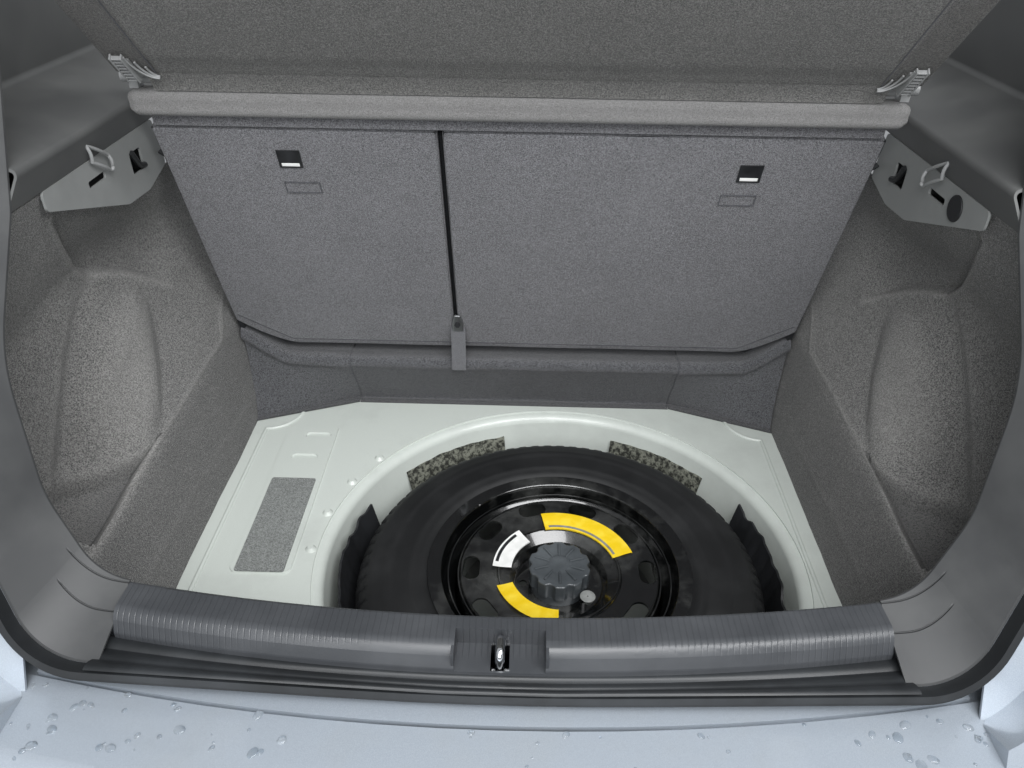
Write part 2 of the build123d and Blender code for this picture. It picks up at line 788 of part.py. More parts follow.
corner_sections = [
    (STEP_SEAM, STEP_FOOT, STEP_Y - 3),
    (STEP_TOP_HALF, STEP_CORNER_FOOT, STEP_CORNER_Y),
]
with BuildPart() as step_corner:
    for x, foot, top in corner_sections:
        with BuildSketch(beside(x)):
            Polygon(
                (foot, PAN_TOP),
                (top, STEP_TOP),
                (STEP_CORNER_FRONT, STEP_TOP),
                (STEP_CORNER_FRONT, STEP_TOP - STEP_WALL),
                (top + STEP_WALL, STEP_TOP - STEP_WALL),
                (foot + STEP_WALL, PAN_TOP),
                align=None,
            )
    loft(ruled=True)
    with BuildSketch(across(STEP_CORNER_FRONT)):
        Polygon(
            (STEP_SEAM - 1, PAN_TOP),
            (FOOT_X - SEAT, PAN_TOP),
            (STEP_TOP_HALF, STEP_TOP),
            (STEP_SEAM - 1, STEP_TOP),
            align=None,
        )
    extrude(amount=400, mode=Mode.INTERSECT)
finish(step_corner.part, "step_carpet_right")
finish(mirrored(step_corner.part), "step_carpet_left")

# Spare wheel: the tyre and the pressed wheel are turned, and the vents are cut round the disc
wheel_axis = Axis((WELL_X, SILL_Y + WHEEL_Y, 0), (0, 0, 1))
wheel_middle = (WELL_X, SILL_Y + WHEEL_Y, SILL_Z + TYRE_CENTRE)
wheel_plane = Plane(origin=wheel_middle, x_dir=(1, 0, 0), z_dir=(0, -1, 0))
half_tyre = TYRE_WIDTH / 2
half_rim = RIM_WIDTH / 2
with BuildPart() as spare_tyre:
    with BuildSketch(wheel_plane) as tyre_section:
        with BuildLine():
            Polyline(
                (BEAD_R + SEAT, -half_rim + 5),
                (FLANGE_R + 2, -half_rim + 5),
                (FLANGE_R + 26, -half_tyre),
                (TYRE_R - 42, -half_tyre),
                (TYRE_R - 6, -half_tyre + 22),
                (TYRE_R, -half_tyre + 46),
                (TYRE_R, half_tyre - 46),
                (TYRE_R - 6, half_tyre - 22),
                (TYRE_R - 42, half_tyre),
                (FLANGE_R + 26, half_tyre),
                (FLANGE_R + 2, half_rim - 5),
                (BEAD_R + SEAT, half_rim - 5),
                (BEAD_R + SEAT, half_rim - 26),
                (FLANGE_R + 14, half_rim - 22),
                (TYRE_R - 22, half_tyre - 30),
                (TYRE_R - 16, 0),
                (TYRE_R - 22, -half_tyre + 30),
                (FLANGE_R + 14, -half_rim + 22),
                (BEAD_R + SEAT, -half_rim + 26),
                close=True,
            )
        make_face()
        outer_corners = tyre_section.vertices().filter_by(lambda v: (v.X - WELL_X) > FLANGE_R + 20)
        fillet(outer_corners, 9)
        for groove in (-44, -16, 16, 44):
            with Locations((TYRE_R, groove)):
                Rectangle(14, 7, mode=Mode.SUBTRACT)
    revolve(axis=wheel_axis)
finish(spare_tyre.part, "spare_tyre")

with BuildPart() as spare_rim:
    with BuildSketch(wheel_plane):
        with BuildLine():
            line = FilletPolyline(
                (FLANGE_R, half_rim),
                (BEAD_R - RIM_WALL, half_rim),
                (BEAD_R - RIM_WALL, half_rim - 30),
                (RIM_DROP, half_rim - 46),
                (RIM_DROP, half_rim - 96),
                (BEAD_R - RIM_WALL, half_rim - 118),
                (BEAD_R - RIM_WALL, -half_rim),
                (FLANGE_R, -half_rim),
                radius=4,
            )
            offset(line, amount=RIM_WALL, side=Side.LEFT)
        make_face()
        with BuildLine():
            line = FilletPolyline(
                (RIM_DROP + 1, half_rim - 88),
                (RIM_DROP - 4, half_rim - 44),
                (VENT_RING + 17, half_rim + DISC_RISE),
                (VENT_RING - 18, half_rim + DISC_RISE - 2),
                (100, half_rim + DISC_RISE - 6),
                (78, half_rim - 32),
                (70, half_rim - 46),
                (HUB_R, half_rim - 46),
                radius=4,
            )
            offset(line, amount=RIM_WALL, side=Side.LEFT)
        make_face()
    revolve(axis=wheel_axis)
    with BuildSketch(Plane(origin=(WELL_X, SILL_Y + WHEEL_Y, SILL_Z))):
        with PolarLocations(VENT_RING, VENTS):
            SlotOverall(*VENT, rotation=90)
        with PolarLocations(LUG_RING, LUGS, start_angle=36):
            Circle(LUG_HOLE_R)
    extrude(amount=-400, mode=Mode.SUBTRACT)
finish(spare_rim.part, "spare_rim")

# Clamp: a stud stands on the well's floor through the hub, with a lobed knob on its top
with BuildPart() as clamp_stud:
    with BuildSketch(Plane(origin=(WELL_X, SILL_Y + WHEEL_Y, SILL_Z + PAN_TOP - WELL_DEPTH))):
        Circle(STUD_FOOT_R)
    extrude(amount=STUD_FOOT)
    with BuildSketch(Plane(origin=(WELL_X, SILL_Y + WHEEL_Y, SILL_Z + PAN_TOP - WELL_DEPTH))):
        Circle(STUD_R)
    extrude(amount=KNOB_LOW + STUD_REACH - PAN_TOP + WELL_DEPTH)
finish(clamp_stud.part, "clamp_stud")

with BuildPart() as clamp_knob:
    with BuildSketch(Plane(origin=(WELL_X, SILL_Y + WHEEL_Y, SILL_Z + KNOB_LOW))) as star:
        Circle(KNOB_R)
        with PolarLocations(KNOB_R + KNOB_HOLLOW / 2, KNOB_LOBES):
            Circle(KNOB_HOLLOW, mode=Mode.SUBTRACT)
        fillet(star.vertices(), 4)
    extrude(amount=KNOB_HEIGHT)
    fillet(clamp_knob.faces().sort_by(Axis.Z)[-1].edges(), 3)
    with BuildSketch(Plane(origin=(WELL_X, SILL_Y + WHEEL_Y, SILL_Z + KNOB_LOW))):
        Circle(HUB_R + 12)
    extrude(amount=-(KNOB_LOW - (TYRE_CENTRE + half_rim - 46)) + SEAT)
    with BuildSketch(Plane(origin=(WELL_X, SILL_Y + WHEEL_Y, SILL_Z + KNOB_LOW + STUD_REACH + SEAT))):
        Circle(STUD_R + SEAT)
    extrude(amount=-200, mode=Mode.SUBTRACT)
finish(clamp_knob.part, "clamp_knob")


# Seat backs: a carpeted panel with hinge ears, a foam front, and head restraints on posts
def seat_slope(forward, up):
    """Point in the seat back's own section: along its thickness and up its rear face."""
    tilt = radians(SEAT_LEAN)
    y = SEAT_FACE_Y + forward * cos(tilt) - up * sin(tilt)
    z = SEAT_LOW + forward * sin(tilt) + up * cos(tilt)
    return (y, z)


def seat_back(left, right):
    """Panel of one seat back between two places across the car."""
    face_length = (SEAT_TOP - SEAT_LOW) / cos(radians(SEAT_LEAN))
    with BuildPart() as panel:
        with BuildSketch(beside(left)) as section:
            Polygon(
                (SEAT_FACE_Y, SEAT_LOW),
                seat_slope(0, face_length),
                seat_slope(SEAT_PANEL, face_length),
                (SEAT_FACE_Y + SEAT_PANEL / cos(radians(SEAT_LEAN)), SEAT_LOW),
                align=None,
            )
        extrude(amount=right - left)
        outer = max(left, right, key=abs)
        inward = -CORNER_CUT[0] if outer > 0 else CORNER_CUT[0]
        with BuildSketch(across(PIVOT_Y)):
            with BuildLine():
                Polyline(
                    (outer, SEAT_LOW - 1),
                    (outer + inward, SEAT_LOW - 1),
                    (outer, SEAT_LOW + CORNER_CUT[1]),
                    close=True,
                )
            make_face()
        extrude(amount=200, mode=Mode.SUBTRACT)
        for edge in (left, right - EAR):
            with BuildSketch(beside(edge)):
                with Locations((PIVOT_Y, PIVOT_Z)):
                    Circle(EAR_R)
                Polygon(
                    seat_slope(2, EAR_R),
                    (PIVOT_Y, PIVOT_Z - EAR_R),
                    (PIVOT_Y, PIVOT_Z + EAR_R),
                    seat_slope(2, 4 * EAR_R),
                    align=None,
                )
                with Locations((PIVOT_Y, PIVOT_Z)):
                    Circle(PIVOT_R + SEAT, mode=Mode.SUBTRACT)
            extrude(amount=EAR)
    return panel.part


def seat_cushion(left, right):
    """Foam front of one seat back, ahead of its panel and between the ears."""
    face_length = (SEAT_TOP - SEAT_LOW) / cos(radians(SEAT_LEAN))
    with BuildPart() as foam:
        with BuildSketch(beside(left + CUSHION_INSET)) as section:
            Polygon(
                seat_slope(SEAT_PANEL + SEAT, 30),
                seat_slope(SEAT_PANEL + SEAT, face_length - CUSHION_DROP),
                seat_slope(SEAT_PANEL + CUSHION * 0.8, face_length - CUSHION_DROP),
                seat_slope(SEAT_PANEL + CUSHION, face_length * 0.6),
                seat_slope(SEAT_PANEL + CUSHION, 30),
                align=None,
            )
            fillet(section.vertices().sort_by(Axis.Y)[-3:], 18)
        extrude(amount=right - left - 2 * CUSHION_INSET)
        ends = foam.faces().filter_by(Axis.X)
        fillet(ends.edges().filter_by(lambda e: e.center().Z > SILL_Z), 12)
    return foam.part


def head_restraint(middle):
    """Foam head restraint over a seat back."""
    face_length = (SEAT_TOP - SEAT_LOW) / cos(radians(SEAT_LEAN))
    low = face_length + HEAD_LIFT
    with BuildPart() as head:
        with BuildSketch(beside(middle - HEAD_HALF)) as section:
            Polygon(
                seat_slope(SEAT_PANEL + HEAD_BACK, low),
                seat_slope(SEAT_PANEL + HEAD_BACK + 6, low + HEAD_HEIGHT),
                seat_slope(SEAT_PANEL + HEAD_DEPTH, low + HEAD_HEIGHT),
                seat_slope(SEAT_PANEL + HEAD_DEPTH + HEAD_BACK, low),
                align=None,
            )
            fillet(section.vertices(), 16)
        extrude(amount=HEAD_HALF * 2)
        fillet(head.faces().filter_by(Axis.X).edges(), 14)
    return head.part


def head_posts(middle):
    """Pair of posts that carry a head restraint, let into the seat back's top."""
    face_length = (SEAT_TOP - SEAT_LOW) / cos(radians(SEAT_LEAN))
    tilt = radians(SEAT_LEAN)
    foot = seat_slope(SEAT_PANEL + HEAD_BACK + HEAD_DEPTH / 2, face_length - CUSHION_DROP + SEAT)
    with BuildPart() as posts:
        origin = (middle, SILL_Y + foot[0], SILL_Z + foot[1])
        with BuildSketch(Plane(origin=origin, x_dir=(1, 0, 0), z_dir=(0, -sin(tilt), cos(tilt)))):
            with Locations((-POST_SPREAD, 0), (POST_SPREAD, 0)):
                Circle(POST_R)
        extrude(amount=HEAD_LIFT + CUSHION_DROP - 2 * SEAT)
    return posts.part


seat_backs = [("left", -SEAT_HALF, SPLIT_X - SPLIT_GAP / 2), ("right", SPLIT_X + SPLIT_GAP / 2, SEAT_HALF)]
for side, left, right in seat_backs:
    finish(seat_back(left, right), f"seat_back_{side}_panel")
    finish(seat_cushion(left, right), f"seat_back_{side}_cushion")

head_places = [("outer_left", -SEAT_HALF / 2 + SPLIT_X / 2), ("centre", 28), ("outer_right", 330)]
for side, middle in head_places:
    finish(head_restraint(middle), f"head_restraint_{side}")
    finish(head_posts(middle), f"head_posts_{side}")


# Seat hinges: plates on the pan with pins through the ears
def hinge_plate(left, pins):
    """Upright plate with a foot, a rounded top round the pivot, and pins out of its sides."""
    with BuildPart() as plate:
        with BuildSketch(beside(left)):
            with Locations((PIVOT_Y, PIVOT_Z)):
                Circle(EAR_R)
            with Locations((PIVOT_Y, (PAN_TOP + PIVOT_Z) / 2)):
                Rectangle(EAR_R * 2, PIVOT_Z - PAN_TOP)
        extrude(amount=HINGE_PLATE)
        with BuildSketch(level(PAN_TOP)):
            with Locations((left + HINGE_PLATE / 2, PIVOT_Y)):
                Rectangle(HINGE_FOOT, EAR_R * 2)
        extrude(amount=HINGE_PLATE)
        for start, end in pins:
            with BuildSketch(beside(start)):
                with Locations((PIVOT_Y, PIVOT_Z)):
                    Circle(PIVOT_R)
            extrude(amount=end - start)
    return plate.part


pin_length = HINGE_GAP + EAR - 1
outer_plate = SEAT_HALF + HINGE_GAP
centre_plate = SPLIT_X - HINGE_PLATE / 2
centre_pin = (SPLIT_GAP - HINGE_PLATE) / 2 + EAR - 1
finish(hinge_plate(outer_plate, [(outer_plate - pin_length, outer_plate)]), "seat_hinge_right")
left_plate = -outer_plate - HINGE_PLATE
finish(hinge_plate(left_plate, [(-outer_plate, pin_length - outer_plate)]), "seat_hinge_left")
centre_pins = [(centre_plate - centre_pin, centre_plate)]
centre_pins += [(centre_plate + HINGE_PLATE, centre_plate + HINGE_PLATE + centre_pin)]
finish(hinge_plate(centre_plate, centre_pins), "seat_hinge_centre")

# Bar across the seat backs' tops, with a bracket and a pin at each end for the shelf
with BuildPart() as shelf_bar:
    with BuildSketch(beside(-BAR_HALF)):
        with Locations((BAR_Y, BAR_Z)):
            RectangleRounded(*BAR, 12)
    extrude(amount=BAR_HALF * 2)
finish(shelf_bar.part, "shelf_bar")

with BuildPart() as shelf_pivot:
    bracket_x = CLIP_X + CLIP_WIDTH + 2
    bar_top = BAR_Z + BAR[1] / 2
    with BuildSketch(beside(bracket_x)):
        with Locations((SHELF_Y, SHELF_Z)):
            Circle(PIN_R * 2 + 1)
        with Locations((SHELF_Y, (bar_top + SHELF_Z) / 2)):
            Rectangle(PIN_R * 4 + 2, SHELF_Z - bar_top)
    extrude(amount=LEDGE_X - bracket_x - 2)
    with BuildSketch(beside(CLIP_X - 3)):
        with Locations((SHELF_Y, SHELF_Z)):
            Circle(PIN_R)
    extrude(amount=bracket_x - CLIP_X + 3)
finish(shelf_pivot.part, "shelf_pivot_right")
finish(mirrored(shelf_pivot.part), "shelf_pivot_left")


# Parcel shelf: a board with a raised panel on its underside, and a clip on each pin
def on_shelf(back, up):
    """Point in the shelf's own section: away from its hinge, and up from its underside."""
    tilt = radians(SHELF_TILT)
    rise = up - SHELF_DROP
    return (SHELF_Y - back * cos(tilt) + rise * sin(tilt), SHELF_Z + back * sin(tilt) + rise * cos(tilt))


def shelf_plane(up):
    """Plane along the shelf at a height over its underside: across, then away from its hinge."""
    tilt = radians(SHELF_TILT)
    y, z = on_shelf(0, up)
    return Plane(origin=(0, SILL_Y + y, SILL_Z + z), x_dir=(-1, 0, 0), z_dir=(0, sin(tilt), cos(tilt)))


with BuildPart() as shelf_board:
    with BuildSketch(shelf_plane(0)):
        with BuildLine():
            FilletPolyline(
                (-SHELF_HALF, SHELF_GAP),
                (SHELF_HALF, SHELF_GAP),
                (SHELF_HALF, SHELF_GAP + SHELF_LENGTH),
                (-SHELF_HALF, SHELF_GAP + SHELF_LENGTH),
                radius=[8, 8, SHELF_CORNER, SHELF_CORNER],
                close=True,
            )
        make_face()
    extrude(amount=SHELF_THICK)
    with BuildSketch(shelf_plane(0)):
        with Locations((0, SHELF_GAP + SHELF_LENGTH / 2)):
            RectangleRounded((SHELF_HALF - SHELF_RIM) * 2, SHELF_LENGTH - SHELF_RIM / 2, 20)
    extrude(amount=-PAD_RISE)
finish(shelf_board.part, "parcel_shelf")

with BuildPart() as shelf_clip:
    with BuildSketch(beside(CLIP_X)):
        with Locations((SHELF_Y, SHELF_Z)):
            Circle(PIN_R * 2 + 1)
        Polygon(
            on_shelf(0, SHELF_DROP + PIN_R * 2 + 1),
            on_shelf(SHELF_GAP - 1, SHELF_THICK + 9),
            on_shelf(SHELF_GAP - 1, -6),
            on_shelf(12, 7),
            on_shelf(2, SHELF_DROP - PIN_R * 2),
            align=None,
        )
        Polygon(
            on_shelf(SHELF_GAP - 2, -SEAT),
            on_shelf(SHELF_GAP + CLIP_REACH, -SEAT),
            on_shelf(SHELF_GAP + CLIP_REACH, -5),
            on_shelf(SHELF_GAP - 2, -9),
            align=None,
        )
        with Locations((SHELF_Y, SHELF_Z)):
            Circle(PIN_R + SEAT, mode=Mode.SUBTRACT)
    extrude(amount=CLIP_WIDTH)
finish(shelf_clip.part, "shelf_clip_right")
finish(mirrored(shelf_clip.part), "shelf_clip_left")
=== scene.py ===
"""The looks of a small car's luggage compartment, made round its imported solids."""

import json
import math
import random

import bpy
import numpy as np
from mathutils import Matrix, Vector, noise


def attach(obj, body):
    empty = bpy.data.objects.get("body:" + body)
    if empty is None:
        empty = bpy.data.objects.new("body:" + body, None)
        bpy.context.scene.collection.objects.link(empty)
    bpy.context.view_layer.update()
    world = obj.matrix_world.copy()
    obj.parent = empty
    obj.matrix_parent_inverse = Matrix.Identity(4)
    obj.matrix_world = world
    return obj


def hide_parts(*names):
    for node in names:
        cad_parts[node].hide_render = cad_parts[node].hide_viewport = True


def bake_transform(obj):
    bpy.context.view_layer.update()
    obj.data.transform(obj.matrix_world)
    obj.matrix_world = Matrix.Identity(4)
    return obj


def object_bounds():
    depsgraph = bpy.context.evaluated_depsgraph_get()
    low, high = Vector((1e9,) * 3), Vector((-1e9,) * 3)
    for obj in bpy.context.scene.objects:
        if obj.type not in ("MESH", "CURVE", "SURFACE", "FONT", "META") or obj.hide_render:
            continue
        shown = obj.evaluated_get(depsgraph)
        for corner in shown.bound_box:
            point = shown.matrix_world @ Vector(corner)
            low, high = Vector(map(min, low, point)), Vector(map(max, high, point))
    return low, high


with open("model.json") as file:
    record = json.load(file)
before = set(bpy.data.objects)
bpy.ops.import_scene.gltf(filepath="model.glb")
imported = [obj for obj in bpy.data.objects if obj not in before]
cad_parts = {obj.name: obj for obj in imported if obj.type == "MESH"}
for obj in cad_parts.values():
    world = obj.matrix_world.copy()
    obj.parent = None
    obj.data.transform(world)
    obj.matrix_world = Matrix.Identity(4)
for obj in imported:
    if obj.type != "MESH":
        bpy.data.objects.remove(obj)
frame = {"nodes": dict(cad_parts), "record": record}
bpy.ops.object.select_all(action="DESELECT")
cad_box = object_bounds()
nodes = frame["nodes"]
scene = bpy.context.scene
chance = random.Random(7)

# Millimetres from the middle of the load sill, as the part's source counts them.
CABIN = 510  # half the width between the side carpets
CARPET_ROWS = [
    (60, 42, -112, 100, -96, 132, 110, 29, 343),
    (230, 35, -98, 112, -78, 136, 120, 28, 343),
    (360, 28, -84, 102, -50, 126, 150, 27, 341),
    (480, 20, -72, 74, 20, 108, 176, 27, 300),
    (610, 14, -58, 56, 44, 86, 176, 27, 275),
    (792, 10, -36, 36, 70, 56, 176, 27, 268),
]
SPLIT = -107  # where the two seat backs meet
SEAT_RISE = 474.2  # their height along the lean
SEAT_LEAN = math.radians(19.85)
SHELF_AT = (590, 418)  # the shelf's hinge, forward and up
SHELF_TILT = math.radians(45)
HALF_SHELF = 517
SHELF_DEEP = 330
SHELF_THICK = 14
WHEEL = (82, 372)
WELL = (82, 383)
TYRE_MIDDLE = -352
DISC_TOP = -268.5  # the wheel's upper face
WELD = 1e-6  # metres between points that are one
SPIN = -1  # spin turns clockwise for a positive angle


def place(x, y, z):
    """A point in those millimetres, in the frame's metres."""
    return Vector((x / 1000, (y - 830) / 1000, (z + 323) / 1000))


def linear(code):
    """A colour such as #808080 as the linear one that a shader takes."""
    shares = [int(code[i : i + 2], 16) / 255 for i in (1, 3, 5)]
    return [s / 12.92 if s <= 0.04045 else ((s + 0.055) / 1.055) ** 2.4 for s in shares] + [1.0]


def node(tree, kind, sockets=None, **settings):
    """Adds a shader node, sets it, and gives its inputs their values or links."""
    made = tree.nodes.new(kind)
    for name, value in settings.items():
        setattr(made, name, value)
    for name, value in (sockets or {}).items():
        if isinstance(value, bpy.types.NodeSocket):
            tree.links.new(value, made.inputs[name])
        else:
            made.inputs[name].default_value = value
    return made


def material(name, **sockets):
    """A new material: its tree and shader, with the values that are the same all over."""
    made = bpy.data.materials.new(name)
    made.use_nodes = True
    shader = made.node_tree.nodes["Principled BSDF"]
    for socket, value in sockets.items():
        shader.inputs[socket.replace("_", " ")].default_value = value
    return made, made.node_tree, shader


def object_place(tree):
    """Where a point is on the object, in metres."""
    return node(tree, "ShaderNodeTexCoord").outputs["Object"]


def spread(tree, value, low, high, to_low=0.0, to_high=1.0):
    """A value's range stretched to another."""
    sockets = {"Value": value, "From Min": low, "From Max": high, "To Min": to_low, "To Max": to_high}
    return node(tree, "ShaderNodeMapRange", sockets).outputs["Result"]


def mix(tree, share, first, second):
    """Two colours mixed by a share; each is a code or a socket."""
    first = linear(first) if isinstance(first, str) else first
    second = linear(second) if isinstance(second, str) else second
    made = node(tree, "ShaderNodeMix", {"Factor": share}, data_type="RGBA")
    for socket, value in ((made.inputs[6], first), (made.inputs[7], second)):
        if isinstance(value, bpy.types.NodeSocket):
            tree.links.new(value, socket)
        else:
            socket.default_value = value
    return made.outputs[2]


def sums(tree, operation, first, second):
    """Arithmetic between two values; each is a number or a socket."""
    return node(tree, "ShaderNodeMath", {0: first, 1: second}, operation=operation).outputs[0]


def join(tree, shader, **sockets):
    """Links patterns to the shader's inputs."""
    for socket, value in sockets.items():
        tree.links.new(value, shader.inputs[socket.replace("_", " ")])


def felt(name, dark, light, speck, grain=0.0016, sheen=0.25, depth=0.8):
    """Needled felt: salt and pepper fibres a grain across, in tufts of two, with 70 mm clouds of matting.

    It reads two values of the mesh: worn, which pales it toward the speck colour, partly as rubbed felt and
    partly as painted highlight, and shade, which mixes in the dark colour as painted shade.
    """
    made, tree, shader = material(
        name, Roughness=0.95, Sheen_Weight=sheen, Sheen_Roughness=0.6, Specular_IOR_Level=0.15
    )
    where = object_place(tree)
    fibre = node(
        tree, "ShaderNodeTexNoise", {"Vector": where, "Scale": 1 / grain, "Detail": 2.0, "Roughness": 0.8}
    )
    tufts = node(
        tree, "ShaderNodeTexNoise", {"Vector": where, "Scale": 0.5 / grain, "Detail": 2.0, "Roughness": 0.6}
    )
    matted = node(tree, "ShaderNodeTexNoise", {"Vector": where, "Scale": 14.0, "Detail": 3.0})
    flecks = node(tree, "ShaderNodeTexVoronoi", {"Vector": where, "Scale": 0.55 / grain})
    salt = spread(tree, fibre.outputs["Fac"], 0.40, 0.60, 0.0, 0.8)
    pepper = spread(tree, tufts.outputs["Fac"], 0.38, 0.62, -0.12, 0.22)
    cloud = spread(tree, matted.outputs["Fac"], 0.35, 0.65, -0.03, 0.05)
    share = sums(tree, "ADD", sums(tree, "ADD", salt, pepper), cloud)
    fleck = spread(tree, flecks.outputs["Distance"], 0.2, 0.06, 0.0, 0.5)
    # Worn: paler toward the speck, in part rubbed felt and in part painted highlight.
    worn = node(tree, "ShaderNodeAttribute", attribute_name="worn").outputs["Fac"]
    fleck = sums(tree, "MAXIMUM", fleck, sums(tree, "MULTIPLY", worn, 0.75))
    lift = node(tree, "ShaderNodeBump", {"Height": share, "Strength": depth, "Distance": grain})
    pile = mix(tree, fleck, mix(tree, share, dark, light), speck)
    # Painted shade: the shade value mixes the pile toward the dark colour.
    shade = sums(
        tree, "MULTIPLY", node(tree, "ShaderNodeAttribute", attribute_name="shade").outputs["Fac"], 0.72
    )
    join(tree, shader, Base_Color=mix(tree, shade, pile, dark), Normal=lift.outputs["Normal"])
    return made


def grained(name, colour, worn, rough, grain=0.0011, depth=0.3, grooves=None):
    """Moulded plastic: leather grain cells a grain across, scuffs in 110 mm clouds, and any cut grooves."""
    made, tree, shader = material(name)
    where = object_place(tree)
    cells = node(
        tree, "ShaderNodeTexVoronoi", {"Vector": where, "Scale": 1 / grain}, feature="DISTANCE_TO_EDGE"
    )
    cloud = node(tree, "ShaderNodeTexNoise", {"Vector": where, "Scale": 9.0, "Detail": 5.0, "Roughness": 0.6})
    scuff = spread(tree, cloud.outputs["Fac"], 0.42, 0.75)
    lift = node(
        tree, "ShaderNodeBump", {"Height": cells.outputs["Distance"], "Strength": depth, "Distance": 0.0003}
    )
    tone = mix(tree, scuff, colour, worn)
    normal = lift.outputs["Normal"]
    if grooves:
        line = grooves(tree, where)
        normal = node(
            tree,
            "ShaderNodeBump",
            {"Height": line, "Strength": 1.0, "Distance": 0.0012, "Normal": normal},
            invert=True,
        ).outputs["Normal"]
        # The grooves are drawn darker: painted shade in them.
        tone = mix(tree, sums(tree, "MULTIPLY", line, 0.55), tone, "#1a1b1d")
    join(
        tree,
        shader,
        Base_Color=tone,
        Roughness=spread(tree, cloud.outputs["Fac"], 0.3, 0.7, rough - 0.06, rough + 0.08),
        Normal=normal,
    )
    return made


def sill_grooves(tree, where):
    """Fine grooves along the car on the sill's flat top, a few millimetres apart."""
    parts = node(tree, "ShaderNodeSeparateXYZ", {"Vector": where})
    comb = sums(tree, "PINGPONG", parts.outputs["X"], 0.0034)
    line = spread(tree, comb, 0.0009, 0.0002, 0.0, 0.22)
    ahead = spread(tree, parts.outputs["Y"], -0.796, -0.786)
    return sums(tree, "MULTIPLY", line, ahead)


def corner_grooves(tree, where):
    """Two engraved lines across each lower corner of the pillar trims."""
    parts = node(tree, "ShaderNodeSeparateXYZ", {"Vector": where})
    out = node(tree, "ShaderNodeMath", {0: parts.outputs["X"]}, operation="ABSOLUTE").outputs[0]
    lines = None
    for start, forward, bow in ((0.436, -0.7245, 4.85), (0.440, -0.758, 7.5)):
        past = sums(tree, "MAXIMUM", sums(tree, "SUBTRACT", out, start), 0.0)
        curve = sums(tree, "MULTIPLY", sums(tree, "MULTIPLY", past, past), bow)
        level = sums(tree, "ADD", curve, forward)
        away = node(
            tree,
            "ShaderNodeMath",
            {0: sums(tree, "SUBTRACT", parts.outputs["Y"], level)},
            operation="ABSOLUTE",
        ).outputs[0]
        line = spread(tree, away, 0.0013, 0.0004)
        lines = line if lines is None else sums(tree, "MAXIMUM", lines, line)
    return sums(tree, "MULTIPLY", lines, spread(tree, out, 0.484, 0.479))


def paint(name, colour, flake, coat, metal, rough=0.34):
    """Sprayed paint: flakes of 0.7 mm under lacquer, a 4 mm orange peel and 140 mm patches of dust."""
    made, tree, shader = material(name, Metallic=metal, Coat_Weight=coat, Coat_Roughness=0.06)
    where = object_place(tree)
    flakes = node(tree, "ShaderNodeTexVoronoi", {"Vector": where, "Scale": 1400.0})
    peel = node(tree, "ShaderNodeTexNoise", {"Vector": where, "Scale": 260.0, "Detail": 1.0})
    film = node(tree, "ShaderNodeTexNoise", {"Vector": where, "Scale": 7.0, "Detail": 5.0, "Roughness": 0.65})
    tone = mix(tree, spread(tree, flakes.outputs["Distance"], 0.5, 0.1, 0.0, 0.6), colour, flake)
    dusty = mix(tree, spread(tree, film.outputs["Fac"], 0.5, 0.8, 0.0, 0.3), tone, "#8d8f8c")
    lift = node(tree, "ShaderNodeBump", {"Height": peel.outputs["Fac"], "Strength": 0.06, "Distance": 0.0004})
    join(
        tree,
        shader,
        Base_Color=dusty,
        Roughness=spread(tree, film.outputs["Fac"], 0.35, 0.7, rough - 0.06, rough + 0.08),
        Normal=lift.outputs["Normal"],
    )
    return made


def printed(name, colour, other, rough=0.45):
    """Thin label stock: a plain print, uneven over 16 mm, with faint creases 6 mm apart."""
    made, tree, shader = material(name)
    where = object_place(tree)
    blotch = node(tree, "ShaderNodeTexNoise", {"Vector": where, "Scale": 60.0, "Detail": 4.0})
    crease = node(tree, "ShaderNodeTexNoise", {"Vector": where, "Scale": 160.0, "Detail": 2.0})
    lift = node(
        tree, "ShaderNodeBump", {"Height": crease.outputs["Fac"], "Strength": 0.3, "Distance": 0.0004}
    )
    join(
        tree,
        shader,
        Base_Color=mix(tree, spread(tree, blotch.outputs["Fac"], 0.4, 0.7), colour, other),
        Roughness=spread(tree, blotch.outputs["Fac"], 0.3, 0.7, rough - 0.08, rough + 0.1),
        Normal=lift.outputs["Normal"],
    )
    return made


def damping(name):
    """Bitumen mat: its grey paper face worn through to black in spots of 8 mm, pitted every 4 mm."""
    made, tree, shader = material(name, Roughness=0.85)
    where = object_place(tree)
    worn = node(
        tree, "ShaderNodeTexNoise", {"Vector": where, "Scale": 120.0, "Detail": 5.0, "Roughness": 0.7}
    )
    pits = node(tree, "ShaderNodeTexVoronoi", {"Vector": where, "Scale": 260.0})
    share = spread(tree, worn.outputs["Fac"], 0.44, 0.58)
    lift = node(
        tree, "ShaderNodeBump", {"Height": pits.outputs["Distance"], "Strength": 0.6, "Distance": 0.0008}
    )
    join(tree, shader, Base_Color=mix(tree, share, "#23241f", "#74766b"), Normal=lift.outputs["Normal"])
    return made


def clear_drop():
    """Water: clear, with a slight change of tint from drop to drop."""
    made, tree, shader = material("water_drop", Roughness=0.03, IOR=1.33, Transmission_Weight=0.85)
    cloud = node(tree, "ShaderNodeTexNoise", {"Vector": object_place(tree), "Scale": 90.0})
    join(
        tree, shader, Base_Color=mix(tree, spread(tree, cloud.outputs["Fac"], 0.3, 0.7), "#c9d3dc", "#eef3f7")
    )
    return made


